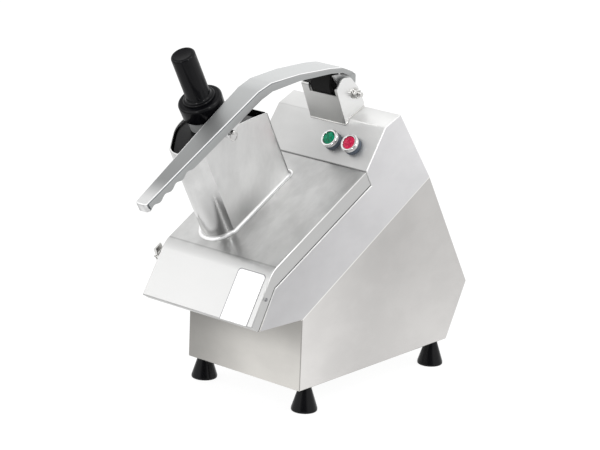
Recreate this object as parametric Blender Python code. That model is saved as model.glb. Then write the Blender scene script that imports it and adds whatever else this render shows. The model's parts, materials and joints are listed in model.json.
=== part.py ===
"""Vegetable cutter: a steel housing with an inclined cutting head, a half-moon hopper and a press lever.

Lengths are in metres. X runs to the right as seen from the front, Y to the back and Z up from the
floor. Shapes are drawn from the housing's front face at Y = 0 and its middle plane at X = 0, and then
moved so that the origin lies under the middle of the whole machine.
"""
import math

import bmesh
import bpy
from mathutils import Matrix, Vector

# Fits between pieces
SEAT = 0.0003                 # gap left between two pieces that touch
RUNNING = 0.0004              # radial play of a piece that turns or slides in another
EDGE = 0.0012                 # rounding of pressed and cast outer edges

# Housing
HALF_WIDTH = 0.115
SHEET = 0.002
FOOT_HEIGHT = 0.0385
BASE_FRONT_HEIGHT = 0.1143
FOLD_ANGLE = math.radians(29.6)
FOLD_LENGTH = 0.344
REAR_ANGLE = math.radians(60.1)
REAR_LENGTH = 0.225
UNDERCUT_ANGLE = math.radians(62.7)
DRAFT = math.radians(2.65)
PANEL_ANGLE = math.radians(55.0)
PANEL_LENGTH = 0.0755
TOP_ANGLE = math.radians(22.5)
TOP_LENGTH = 0.0395
CORNER = 0.003

# Inclined head, measured from the seam between lid and control panel
LID_ANGLE = math.radians(28.5)
SEAM_Y = 0.145
SEAM_Z = 0.3573
SEAM = 0.001
LID_LENGTH = 0.2405
LID_SKIRT = 0.0270
LID_WALL = 0.0022
LID_BEND = 0.045
APRON_ANGLE = math.radians(59.6)
APRON_LENGTH = 0.0900
APRON_SKIRT = 0.019

# Half-moon hopper, in the lid's own plane: x to the right, s up the slope, h above the lid
HOPPER_S = -0.106
HOPPER_RADIUS = 0.108
HOPPER_FACE_X = -0.010
HOPPER_REAR_S = -0.040
HOPPER_NOSE_X = -0.042
HOPPER_NOSE_S = -0.183
HOPPER_NOSE_RADIUS = 0.029
HOPPER_NOSE_END = 0.30
HOPPER_NOSE_STEP = 0.003
HOPPER_WALL = 0.003
HOPPER_LIP = 0.002
RIM_REAR = 0.120
RIM_RISE = 0.471
RIM_CROWN = 1.2
HOPPER_TOP = 0.20
RIM_CEILING = 0.30

# Food pusher that hangs from the lever and fills the hopper
PUSHER_PLAY = 0.0028
PUSHER_BOTTOM = 0.001
PUSHER_SINK = 0.006
PUSHER_FLANGE = 0.010
SWING_FRONT = 0.006
SWING_REAR = 0.016
TONGUE_WIDTH = 0.006
TONGUE_LENGTH = 0.024
TONGUE_HEAD = 0.007

# Round feed tube and its pusher
TUBE_X = -0.058
TUBE_S = -0.119
TUBE_RADIUS = 0.029
TUBE_WALL = 0.002
TUBE_TOP = 0.170
CAP_RADIUS = 0.0345
CAP_HEIGHT = 0.027
HANDLE_RADIUS = 0.0190
HANDLE_TOP = 0.280
PLUNGER_END = 0.003

# Disc chamber, cutting disc and drive, about one shaft square to the lid
DISC_S = -0.112
DISC_OVERHANG = 0.0015
DISC_TOP = -0.0105
DISC_THICKNESS = 0.003
BLADES = 3
BLADE_INNER = 0.0225
BLADE_MARGIN = 0.006
BLADE_WIDTH = 0.013
BLADE_THICKNESS = 0.0012
BLADE_RISE = 0.0026
SLOT_WIDTH = 0.008
BOWL_RADIUS = 0.101
BOWL_WALL = 0.0025
BOWL_DEPTH = 0.0395
BOWL_FLANGE = 0.004
MOUTH_HALF_WIDTH = 0.060
CHUTE_FRONT_GAP = 0.0136
CHUTE_REAR_GAP = 0.010
CHUTE_DROP = 0.001
EJECTOR_PLAY = 0.004
EJECTOR_TOP = -0.053
EJECTOR_VANES = 6
SHAFT_RADIUS = 0.008
BEARING_RADIUS = 0.016
BEARING_WIDTH = 0.011
DECK_H = -0.110
DECK_THICKNESS = 0.004
DECK_FRONT_S = -0.150
DECK_REAR_S = 0.113
MOTOR_S = 0.045
MOTOR_RADIUS = 0.057
MOTOR_LENGTH = 0.125
MOTOR_SHAFT_RADIUS = 0.007
DISC_PULLEY_RADIUS = 0.045
MOTOR_PULLEY_RADIUS = 0.018
PULLEY_H = -0.091
BELT_WIDTH = 0.012
BELT_THICKNESS = 0.003
PULLEY_FLANGE = 0.0025

# Press lever, side profile as (y, z) of its top face with half width and depth of its sides
LEVER_TIP = (-0.2380, 0.3564)
LEVER_ELBOW = (-0.0100, 0.4908)
LEVER_CREST = (0.0800, 0.5048)
LEVER_SHOULDER = (0.1500, 0.5038)
LEVER_BACK = (0.2000, 0.4928)
LEVER_END = (0.2070, 0.4838)
TIP_HALF_WIDTH = 0.0122
ELBOW_HALF_WIDTH = 0.022
BACK_HALF_WIDTH = 0.030
LEVER_DEPTH = 0.015
LEVER_SKIN = 0.0042
GRIP_LENGTH = 0.102
GRIP_WAVES = 4
GRIP_WAVE_DEPTH = 0.0045
TIP_ROUND = 0.005
PIVOT = (0.2000, 0.4583)
PIVOT_RADIUS = 0.004
CHEEK_X = 0.024
CHEEK_THICKNESS = 0.005
LUG_HALF_WIDTH = 0.008
LUG_DEPTH = 0.013
PIN_S = -0.140
PIN_H = 0.1645
PIN_RADIUS = 0.0035
PIN_END_X = 0.0175
RING_RADIUS = 0.0075
RING_WIRE = 0.0009
RING_SAG = 0.00045

# Lever bracket on top of the housing
BRACKET_HALF_WIDTH = 0.036
BRACKET_SHEET = 0.0025
BRACKET_FOOT = 0.0105
BRACKET_FRONT_LENGTH = 0.0645
BRACKET_LEAN = math.radians(114.5)
BRACKET_SCREW_X = 0.022
STOP_HALF_WIDTH = 0.019

# Push buttons on the control panel
BUTTON_X = 0.0265
BUTTON_PITCH = 0.040
BUTTON_RISE = 0.0343
BUTTON_HOLE = 0.0112
COLLAR_RADIUS = 0.01475
COLLAR_HEIGHT = 0.009
BEZEL_RADIUS = 0.0150
BEZEL_HEIGHT = 0.006
CAP_FACE_RADIUS = 0.0119
CAP_TRAVEL = 0.004

# Feet
FOOT_RADIUS = 0.0205
FOOT_TOP_RADIUS = 0.0103
FOOT_INSET = 0.0113
FOOT_FRONT_Y = 0.0262
FOOT_REAR_Y = 0.3398
FOOT_RECESS = 0.009
FOOT_SCREW_RADIUS = 0.003

# Control box on the bottom plate and the lid's switch beside the bowl
CONTROL_Y = 0.060
CONTROL_WIDTH = 0.130
CONTROL_LENGTH = 0.090
CONTROL_HEIGHT = 0.055
SWITCH_WIDTH = 0.020
SWITCH_LENGTH = 0.031
SWITCH_DEPTH = 0.022
SWITCH_ANGLE = math.radians(42.7)

# Cable gland in the rear panel
GLAND_RADIUS = 0.008
GLAND_X = -0.070
GLAND_UP = 0.040

# Draw latch on the left flank, placed along the fold and out from the flank
LATCH_S = -0.250
LATCH_HALF_WIDTH = 0.009
LATCH_PIVOT_UP = 0.0035
LATCH_PIVOT_OUT = 0.0043
LATCH_LEVER_TOP = 0.022
LATCH_LEVER_OUT = 0.0125
LATCH_STUD_UP = 0.008
LATCH_STUD_OUT = 0.0095
BAIL_REACH = 0.020
BAIL_WIRE = 0.001


def direction(angle):
    """Unit step (y, z) at an angle above the horizontal, towards the back."""
    return Vector((math.cos(angle), math.sin(angle)))


def basis(first, second, third, origin):
    """Matrix that carries (u, v, w) to first * u + second * v + third * w + origin."""
    columns = Matrix((first, second, third)).transposed().to_4x4()
    return Matrix.Translation(origin) @ columns


def tilted(angle, origin):
    """Frame with u to the right, v up a slope of the given angle and w square to it."""
    along = Vector((0.0, math.cos(angle), math.sin(angle)))
    normal = Vector((0.0, -math.sin(angle), math.cos(angle)))
    return basis(Vector((1.0, 0.0, 0.0)), along, normal, origin)


SIDE = basis(Vector((0.0, 1.0, 0.0)), Vector((0.0, 0.0, 1.0)), Vector((1.0, 0.0, 0.0)), Vector())
HEAD = tilted(LID_ANGLE, Vector((0.0, SEAM_Y, SEAM_Z)))
PANEL = tilted(PANEL_ANGLE, Vector((0.0, SEAM_Y, SEAM_Z)))


def head_side(s, h):
    """Point (y, z) of the side view for a place (s, h) in the lid's plane."""
    point = HEAD @ Vector((0.0, s, h))
    return Vector((point.y, point.z))


def meet(point_a, step_a, point_b, step_b):
    """Crossing of two lines of the side view."""
    cross = step_a.x * step_b.y - step_a.y * step_b.x
    gap = point_b - point_a
    return point_a + step_a * ((gap.x * step_b.y - gap.y * step_b.x) / cross)


BASE_FRONT_TOP = Vector((0.0, FOOT_HEIGHT + BASE_FRONT_HEIGHT))
FOLD = direction(FOLD_ANGLE)
REAR_EDGE = BASE_FRONT_TOP + FOLD * FOLD_LENGTH
REAR_TIP = REAR_EDGE + Vector((math.cos(REAR_ANGLE), -math.sin(REAR_ANGLE))) * REAR_LENGTH
BASE_REAR = Vector((REAR_TIP.x - (REAR_TIP.y - FOOT_HEIGHT) / math.tan(UNDERCUT_ANGLE), FOOT_HEIGHT))
PANEL_TOP = Vector((SEAM_Y, SEAM_Z)) + direction(PANEL_ANGLE) * PANEL_LENGTH
HOUSING_TOP = PANEL_TOP + direction(TOP_ANGLE) * TOP_LENGTH
APRON = direction(APRON_ANGLE)
APRON_IN = Vector((APRON.y, -APRON.x))
LID_CORNER = head_side(-LID_LENGTH, 0.0)
APRON_END = LID_CORNER - APRON * APRON_LENGTH
BROW_LOW = APRON_END + APRON_IN * APRON_SKIRT
BROW_HIGH = meet(BROW_LOW, APRON, head_side(0.0, -LID_SKIRT), direction(LID_ANGLE))
CHUTE_FRONT_Y = BROW_LOW.x + CHUTE_FRONT_GAP
CHUTE_REAR_Y = -CHUTE_REAR_GAP
DISC_RADIUS = BOWL_RADIUS + DISC_OVERHANG
EJECTOR_RADIUS = BOWL_RADIUS - EJECTOR_PLAY


def flank(side):
    """Frame on a drafted flank: u up the fold, v up the flank and w out of it; side is 1 or -1."""
    across = Vector((side, 0.0, 0.0))
    along = Vector((0.0, FOLD.x, FOLD.y))
    rise = Vector((0.0, -FOLD.y, FOLD.x))
    up = rise * math.cos(DRAFT) - across * math.sin(DRAFT)
    out = across * math.cos(DRAFT) + rise * math.sin(DRAFT)
    origin = Vector((side * HALF_WIDTH, BASE_FRONT_TOP.x, BASE_FRONT_TOP.y))
    return basis(along, up, out, origin)


def latch_frame():
    """Frame of the latch: u along the seam, v up the flank from the seam, w out of it."""
    frame = flank(-1)
    seam = HEAD @ Vector((-HALF_WIDTH, LATCH_S, -LID_SKIRT))
    local = frame.inverted() @ seam
    return frame @ Matrix.Translation((local.x, local.y, 0.0))


LATCH_CREST = latch_frame() @ Vector((0.0, LATCH_PIVOT_UP, LATCH_LEVER_OUT))
FOOT_REACH = HALF_WIDTH - FOOT_INSET + FOOT_RADIUS
LEFT_END = min(LATCH_CREST.x, -FOOT_REACH)
RIGHT_END = max(HALF_WIDTH, FOOT_REACH)
ORIGIN = Vector(((LEFT_END + RIGHT_END) / 2.0, (LEVER_TIP[0] + REAR_TIP.x) / 2.0, 0.0))


def clear_scene():
    for thing in list(bpy.data.objects):
        bpy.data.objects.remove(thing, do_unlink=True)


def material(name, colour, roughness, metallic):
    found = bpy.data.materials.get(name)
    if found:
        return found
    made = bpy.data.materials.new(name)
    made.use_nodes = True
    shader = made.node_tree.nodes["Principled BSDF"]
    shader.inputs["Base Color"].default_value = (*colour, 1.0)
    shader.inputs["Roughness"].default_value = roughness
    shader.inputs["Metallic"].default_value = metallic
    made.diffuse_color = (*colour, 1.0)
    return made


def steel():
    return material("brushed_steel", (0.62, 0.62, 0.61), 0.38, 1.0)


def polished():
    return material("polished_casting", (0.70, 0.70, 0.69), 0.25, 1.0)


def cast():
    return material("cast_aluminium", (0.58, 0.59, 0.60), 0.35, 1.0)


def black_plastic():
    return material("black_plastic", (0.012, 0.012, 0.013), 0.18, 0.0)


def rubber():
    return material("rubber", (0.02, 0.02, 0.02), 0.75, 0.0)


def dark_steel():
    return material("dark_steel", (0.25, 0.25, 0.26), 0.45, 1.0)


def paint():
    return material("motor_paint", (0.08, 0.09, 0.10), 0.5, 0.0)


def white_metal():
    return material("bezel", (0.80, 0.80, 0.80), 0.25, 0.9)


def make(name, bm, surface, pivot=None):
    """Turn a bmesh in machine coordinates into an object whose origin is its pivot."""
    pivot = Vector(pivot) if pivot is not None else Vector()
    bmesh.ops.remove_doubles(bm, verts=bm.verts, dist=1e-6)
    bmesh.ops.recalc_face_normals(bm, faces=bm.faces)
    bmesh.ops.translate(bm, verts=bm.verts, vec=-pivot)
    mesh = bpy.data.meshes.new(name)
    bm.to_mesh(mesh)
    bm.free()
    mesh.shade_smooth()
    mesh.set_sharp_from_angle(angle=math.radians(35))
    thing = bpy.data.objects.new(name, mesh)
    thing.location = pivot - ORIGIN
    bpy.context.scene.collection.objects.link(thing)
    if surface:
        mesh.materials.append(surface)
    return thing


def combine(target, bm, operation="DIFFERENCE", pivot=None):
    """Cut with, add or keep what is common with a second shape, as a live Boolean."""
    index = len(target.modifiers)
    tool = make(f"{target.name}_cutter_{index}", bm, None, pivot)
    tool.hide_render = True
    tool.display_type = "WIRE"
    change = target.modifiers.new(f"boolean_{index}", "BOOLEAN")
    change.operation = operation
    change.solver = "EXACT"
    change.object = tool
    return target


def prism(outline, low, high, frame):
    """Extrude a flat outline of (u, v) points from w = low to w = high in a frame."""
    bm = bmesh.new()
    loop = [bm.verts.new((u, v, low)) for u, v in outline]
    face = bm.faces.new(loop)
    extruded = bmesh.ops.extrude_face_region(bm, geom=[face])
    moved = [item for item in extruded["geom"] if isinstance(item, bmesh.types.BMVert)]
    bmesh.ops.translate(bm, verts=moved, vec=(0.0, 0.0, high - low))
    bmesh.ops.transform(bm, matrix=frame, verts=bm.verts)
    bmesh.ops.recalc_face_normals(bm, faces=bm.faces)
    return bm


def box(low, high, frame=Matrix()):
    """Block between two opposite corners of a frame."""
    outline = [(low[0], low[1]), (high[0], low[1]), (high[0], high[1]), (low[0], high[1])]
    return prism(outline, low[2], high[2], frame)


def turned(profile, frame, segments=40, ring=False):
    """Revolve (radius, height) points about the frame's w axis; ring closes the profile on itself."""
    bm = bmesh.new()
    points = [bm.verts.new((radius, 0.0, height)) for radius, height in profile]
    pairs = list(zip(points, points[1:]))
    if ring:
        pairs.append((points[-1], points[0]))
    edges = [bm.edges.new(pair) for pair in pairs]
    bmesh.ops.spin(bm, geom=points + edges, cent=(0.0, 0.0, 0.0), axis=(0.0, 0.0, 1.0),
                   angle=math.tau, steps=segments, use_merge=True)
    bmesh.ops.remove_doubles(bm, verts=bm.verts, dist=1e-6)
    bmesh.ops.transform(bm, matrix=frame, verts=bm.verts)
    bmesh.ops.recalc_face_normals(bm, faces=bm.faces)
    return bm


def disc(radius, low, high, frame, segments=40):
    return turned([(0.0, low), (radius, low), (radius, high), (0.0, high)], frame, segments)


def tube(inner, outer, low, high, frame, segments=40):
    return turned([(inner, low), (outer, low), (outer, high), (inner, high)], frame, segments, True)


def across(y, z):
    """Frame whose w axis runs along +X through (y, z), with u to the back and v up."""
    return basis(Vector((0.0, 1.0, 0.0)), Vector((0.0, 0.0, 1.0)), Vector((1.0, 0.0, 0.0)),
                 Vector((0.0, y, z)))


def on_head(x, s):
    """Frame square to the lid with its origin at (x, s) on the lid's top."""
    return HEAD @ Matrix.Translation((x, s, 0.0))


def offset(outline, distances):
    """Move each edge of an outline inwards by its own distance and join the edges again."""
    count = len(outline)
    points = [Vector(point) for point in outline]
    area = sum(a.x * b.y - b.x * a.y for a, b in zip(points, points[1:] + points[:1]))
    turn = 1.0 if area > 0.0 else -1.0
    lines = []
    for index in range(count):
        step = (points[(index + 1) % count] - points[index]).normalized()
        inwards = Vector((-step.y, step.x)) * turn
        lines.append((points[index] + inwards * distances[index], step))
    return [meet(*lines[index - 1], *lines[index]) for index in range(count)]


def rounded(outline, radii, steps=4):
    """Replace corners of an outline by arcs; radii holds one radius for each corner, or zero."""
    count = len(outline)
    result = []
    for index in range(count):
        here = Vector(outline[index])
        if radii[index] == 0.0:
            result.append(here)
            continue
        back = (Vector(outline[index - 1]) - here).normalized()
        ahead = (Vector(outline[(index + 1) % count]) - here).normalized()
        half = back.angle(ahead) / 2.0
        centre = here + (back + ahead).normalized() * (radii[index] / math.sin(half))
        start = here + back * (radii[index] / math.tan(half)) - centre
        end = here + ahead * (radii[index] / math.tan(half)) - centre
        sweep = start.angle_signed(end)
        for step in range(steps + 1):
            turn = Matrix.Rotation(-sweep * step / steps, 2)
            result.append(centre + turn @ start)
    return result


def arc(centre, radius, start, end, steps):
    """Points on a circle from one angle to another, both included."""
    angles = [start + (end - start) * step / steps for step in range(steps + 1)]
    return [Vector(centre) + Vector((math.cos(a), math.sin(a))) * radius for a in angles]


def draft_flanks(bm, inset):
    """Slice both sides above the fold so that the head narrows upwards."""
    for side in (1, -1):
        frame = flank(side)
        normal = (frame.to_3x3() @ Vector((0.0, 0.0, 1.0))).normalized()
        point = frame.translation - normal * inset
        cut = bmesh.ops.bisect_plane(bm, geom=bm.verts[:] + bm.edges[:] + bm.faces[:], dist=1e-7,
                                     plane_co=point, plane_no=normal, clear_outer=True)
        rim = [item for item in cut["geom_cut"] if isinstance(item, bmesh.types.BMEdge)]
        bmesh.ops.holes_fill(bm, edges=rim, sides=0)
    return bm


def soften(bm, width, segments=2, limit=20.0):
    """Bevel the edges where the surface turns by more than the limit, in degrees."""
    bmesh.ops.dissolve_limit(bm, angle_limit=math.radians(0.5), verts=bm.verts, edges=bm.edges)
    edges = [edge for edge in bm.edges
             if len(edge.link_faces) == 2 and edge.calc_face_angle() > math.radians(limit)]
    bmesh.ops.bevel(bm, geom=edges, offset=width, segments=segments, affect="EDGES", profile=0.5,
                    clamp_overlap=True, material=-1)
    return bm


def housing_outline():
    """Side view of the housing, from the front lower corner over the top to the rear."""
    return [Vector((0.0, FOOT_HEIGHT)), BASE_FRONT_TOP, BROW_LOW, BROW_HIGH, head_side(0.0, -LID_SKIRT),
            Vector((SEAM_Y, SEAM_Z)), PANEL_TOP, HOUSING_TOP, REAR_EDGE, REAR_TIP, BASE_REAR]


def make_housing():
    outline = housing_outline()
    outer = draft_flanks(prism(outline, -HALF_WIDTH, HALF_WIDTH, SIDE), 0.0)
    walls = [SHEET] * len(outline)
    walls[-1] = -CORNER
    inner_width = HALF_WIDTH - SHEET
    inner = draft_flanks(prism(offset(outline, walls), -inner_width, inner_width, SIDE), SHEET)
    housing = make("housing", soften(outer, EDGE, 1), steel())
    combine(housing, inner)
    reach = BOWL_RADIUS + BOWL_WALL + 2.0 * SEAT
    combine(housing, disc(reach, -2.0 * LID_SKIRT, 0.0, on_head(0.0, DISC_S), 48))
    chute = chute_outline(-2.0 * SEAT)
    half = MOUTH_HALF_WIDTH + 2.0 * SHEET + 2.0 * SEAT
    low = min(point.y for point in chute)
    opening = [(chute[0].x, low), (chute[0].x, low + 0.03), (chute[-1].x, low + 0.03), (chute[-1].x, low)]
    combine(housing, prism(opening, -half, half, SIDE))
    for x in button_places():
        combine(housing, disc(BUTTON_HOLE, -0.004, 0.004, PANEL @ Matrix.Translation((x, BUTTON_RISE, 0.0)), 24))
    combine(housing, disc(GLAND_RADIUS + SEAT, -0.004, 0.004, gland_frame(), 20))
    return housing


def gland_frame():
    """Frame on the rear panel, u to the right and w out of the panel."""
    down = Vector((0.0, math.cos(REAR_ANGLE), -math.sin(REAR_ANGLE)))
    out = Vector((0.0, math.sin(REAR_ANGLE), math.cos(REAR_ANGLE)))
    tip = Vector((GLAND_X, REAR_TIP.x, REAR_TIP.y))
    return basis(Vector((-1.0, 0.0, 0.0)), -down, out, tip - down * GLAND_UP)


def make_cable_gland():
    """Threaded body through the rear panel with a hexagon outside and a nut inside."""
    frame = gland_frame()
    body = make("cable_gland", tube(0.0045, GLAND_RADIUS, -0.010, 0.012, frame, 20), black_plastic())
    combine(body, tube(0.0065, 0.0115, SEAT, 0.007, frame, 6), "UNION")
    combine(body, tube(0.0065, 0.0105, 0.0072 - SEAT, 0.0145, frame, 20), "UNION")
    combine(body, tube(0.0065, 0.0115, -SHEET - 0.005, -SHEET - SEAT, frame, 6), "UNION")
    return body


def make_bottom_plate():
    """Closing plate inside the lower edge of the housing."""
    inner = offset(housing_outline(), [SHEET + SEAT] * 10 + [0.0])
    front, rear = inner[0], inner[-1]
    slope = (inner[-2] - rear).normalized()
    top = rear + slope * (SHEET / slope.y)
    outline = [front, Vector((front.x, front.y + SHEET)), top, rear]
    half = HALF_WIDTH - SHEET - SEAT
    plate = make("bottom_plate", prism(outline, -half, half, SIDE), steel())
    for x, y in foot_places():
        combine(plate, disc(FOOT_SCREW_RADIUS + SEAT, -0.01, 0.01, Matrix.Translation((x, y, FOOT_HEIGHT)), 12))
    return plate


def foot_places():
    return [(side * (HALF_WIDTH - FOOT_INSET), y) for y in (FOOT_FRONT_Y, FOOT_REAR_Y) for side in (-1, 1)]


def make_feet():
    """Conical rubber feet, each recessed below for the head of its screw."""
    top = FOOT_HEIGHT - SEAT
    bore = FOOT_SCREW_RADIUS + SEAT
    profile = [(FOOT_RECESS, 0.0), (FOOT_RADIUS - 0.001, 0.0), (FOOT_RADIUS, 0.001),
               (FOOT_RADIUS, 0.004), (FOOT_TOP_RADIUS, top - 0.002), (FOOT_TOP_RADIUS, top),
               (bore, top), (bore, 0.014), (FOOT_RECESS, 0.014)]
    head = FOOT_RECESS - 0.002
    shank = [(0.0, 0.0088), (head, 0.0088), (head, 0.014 - SEAT), (FOOT_SCREW_RADIUS, 0.014 - SEAT),
             (FOOT_SCREW_RADIUS, FOOT_HEIGHT + 0.008), (0.0, FOOT_HEIGHT + 0.008)]
    names = ("front_left", "front_right", "rear_left", "rear_right")
    for name, (x, y) in zip(names, foot_places()):
        place = Matrix.Translation((x, y, 0.0))
        make(f"foot_{name}", turned(profile, place, 24, True), rubber())
        make(f"foot_screw_{name}", turned(shank, place, 12), dark_steel())


def lid_outline():
    """Side view of the lid's outer form, with a play of half a seam to the housing."""
    half = SEAM / 2.0
    rear = head_side(-half, 0.0)
    low_rear = head_side(-half, -LID_SKIRT + half)
    brow_low = BROW_LOW - APRON_IN * half
    brow_high = meet(brow_low, APRON, low_rear, direction(LID_ANGLE))
    return [rear, LID_CORNER, APRON_END, brow_low, brow_high, low_rear]


def make_lid():
    outline = lid_outline()
    bends = [0.0, LID_BEND, 0.0, 0.0, 0.0, 0.0]
    outer = prism(rounded(outline, bends, 6), -HALF_WIDTH, HALF_WIDTH, SIDE)
    outer = draft_flanks(outer, 0.0)
    hollow = offset(outline, [LID_WALL, LID_WALL, LID_WALL, -CORNER, -CORNER, LID_WALL])
    bends[1] = LID_BEND - LID_WALL
    inner = prism(rounded(hollow, bends, 6), -HALF_WIDTH, HALF_WIDTH, SIDE)
    inner = draft_flanks(inner, LID_WALL)
    lid = make("lid", soften(outer, EDGE, 1), steel())
    combine(lid, inner)
    combine(lid, prism(half_moon(HOPPER_WALL), -0.01, 0.01, HEAD))
    return lid


def half_moon(inset, front=0.0, rear=0.0):
    """Hopper outline in the lid's plane, moved inwards by inset.

    A straight face on the right, a round nose at the front, a wide arc on the left and a straight
    rear. The front part can be drawn back by front and the rear part drawn forward by rear.
    """
    radius = HOPPER_RADIUS - inset
    nose_radius = HOPPER_NOSE_RADIUS - inset
    face_x = HOPPER_FACE_X - inset
    rear_s = HOPPER_REAR_S - inset - rear
    back_centre = Vector((0.0, HOPPER_S - rear))
    front_centre = Vector((0.0, HOPPER_S + front))
    nose = Vector((HOPPER_NOSE_X, HOPPER_NOSE_S + front))
    line = nose - front_centre
    tangent = math.atan2(line.y, line.x) - math.acos((radius - nose_radius) / line.length) + math.tau
    start = math.pi - math.asin((rear_s - back_centre.y) / radius)
    split = math.asin((front + rear) / 2.0 / radius)
    points = [Vector((face_x, rear_s))]
    points += arc(back_centre, radius, start, math.pi - split, 9)
    points += arc(front_centre, radius, math.pi + split, tangent, 7)[1:]
    points += arc(nose, nose_radius, tangent, math.tau - HOPPER_NOSE_END, 10)
    points.append(Vector((face_x, nose.y - HOPPER_NOSE_STEP)))
    return points


def rim_height(s):
    """Height of the hopper's rim above the lid, which rises towards the front in a flat crown."""
    run = HOPPER_REAR_S - s
    return RIM_REAR + RIM_RISE * run - RIM_CROWN * run * run


def rim_curve(shift):
    """Side outline (s, h) from behind the hopper to its front, a distance above its rim."""
    reach = HOPPER_RADIUS + HOPPER_NOSE_RADIUS
    steps = 14
    stations = [HOPPER_REAR_S + 0.02 - (0.02 + 1.35 * reach) * step / steps for step in range(steps + 1)]
    return [Vector((s, rim_height(s) + shift)) for s in stations]


def above_rim(shift, top):
    """Everything over a curve that follows the rim, as a block across the machine."""
    curve = rim_curve(shift)
    outline = curve + [Vector((curve[-1].x, top)), Vector((curve[0].x, top))]
    turned_frame = HEAD @ SIDE
    return prism(outline, -2.0 * HALF_WIDTH, 2.0 * HALF_WIDTH, turned_frame)


def make_hopper():
    """Half-moon chimney with a short lip around its foot."""
    hopper = make("hopper", prism(half_moon(0.0), SEAT, HOPPER_TOP, HEAD), polished())
    combine(hopper, prism(half_moon(-HOPPER_LIP), SEAT, 0.0025, HEAD), "UNION")
    combine(hopper, prism(half_moon(HOPPER_WALL), -0.01, RIM_CEILING, HEAD))
    combine(hopper, above_rim(0.0, RIM_CEILING))
    return hopper


def tongue_left():
    return HOPPER_FACE_X - HOPPER_WALL - PUSHER_PLAY - TONGUE_WIDTH


def make_food_pusher():
    """Half-moon block with a wider top flange, a tongue for the lever's pin and a hole for the tube."""
    inset = HOPPER_WALL + PUSHER_PLAY
    pivot = HEAD @ Vector((0.0, PIN_S, PIN_H))
    body = prism(half_moon(inset, SWING_FRONT, SWING_REAR), PUSHER_BOTTOM, HOPPER_TOP, HEAD)
    pusher = make("food_pusher", body, black_plastic(), pivot)
    flange = prism(half_moon(inset, 0.0, SWING_REAR), PUSHER_BOTTOM, HOPPER_TOP, HEAD)
    curve = rim_curve(-PUSHER_SINK - PUSHER_FLANGE)
    low = [Vector((curve[-1].x, -0.01)), Vector((curve[0].x, -0.01))]
    below = prism(curve + low, -2.0 * HALF_WIDTH, 2.0 * HALF_WIDTH, HEAD @ SIDE)
    plate = make("food_pusher_flange", flange, None)
    plate.hide_render = True
    plate.display_type = "WIRE"
    combine(plate, below)
    join = pusher.modifiers.new("flange", "BOOLEAN")
    join.operation = "UNION"
    join.solver = "EXACT"
    join.object = plate
    combine(pusher, above_rim(-PUSHER_SINK, RIM_CEILING))
    left = tongue_left()
    head = PIN_H + TONGUE_HEAD
    back = PIN_S + TONGUE_LENGTH / 2.0
    ahead = PIN_S - TONGUE_LENGTH / 2.0
    tongue = rounded([(ahead, 0.10), (back, 0.10), (back, head), (ahead, head)],
                     [0.0, 0.0, TONGUE_HEAD, TONGUE_HEAD])
    combine(pusher, prism(tongue, left, left + TONGUE_WIDTH, HEAD @ SIDE), "UNION")
    bore = HEAD @ across(PIN_S, PIN_H)
    combine(pusher, disc(PIN_RADIUS + RUNNING, -HALF_WIDTH, HALF_WIDTH, bore, 16))
    combine(pusher, disc(TUBE_RADIUS + SEAT, -0.01, RIM_CEILING, on_head(TUBE_X, TUBE_S), 40))
    return pusher


def make_feed_tube():
    pivot = HEAD @ Vector((0.0, PIN_S, PIN_H))
    inner = TUBE_RADIUS - TUBE_WALL
    shape = tube(inner, TUBE_RADIUS, PUSHER_BOTTOM, TUBE_TOP, on_head(TUBE_X, TUBE_S), 40)
    return make("feed_tube", shape, cast(), pivot)


def make_round_pusher():
    """Plunger for long vegetables: a wide cap that rests on the tube and a grip above it."""
    plunger = TUBE_RADIUS - TUBE_WALL - RUNNING
    seat = TUBE_TOP + SEAT
    shoulder = seat + CAP_HEIGHT
    profile = [(0.0, PLUNGER_END), (plunger - 0.002, PLUNGER_END), (plunger, PLUNGER_END + 0.002),
               (plunger, seat), (CAP_RADIUS - 0.0025, seat), (CAP_RADIUS - 0.0008, seat + 0.002),
               (CAP_RADIUS, shoulder - 0.0045), (CAP_RADIUS - 0.0012, shoulder - 0.0012),
               (CAP_RADIUS - 0.0042, shoulder), (HANDLE_RADIUS + 0.005, shoulder),
               (HANDLE_RADIUS + 0.0045, shoulder + 0.003), (HANDLE_RADIUS + 0.0012, shoulder + 0.006),
               (HANDLE_RADIUS, shoulder + 0.010), (HANDLE_RADIUS, HANDLE_TOP - 0.004),
               (HANDLE_RADIUS - 0.0035, HANDLE_TOP - 0.0006), (HANDLE_RADIUS - 0.008, HANDLE_TOP), (0.0, HANDLE_TOP)]
    frame = on_head(TUBE_X, TUBE_S)
    return make("round_pusher", turned(profile, frame, 40), black_plastic(), frame.translation)


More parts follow.
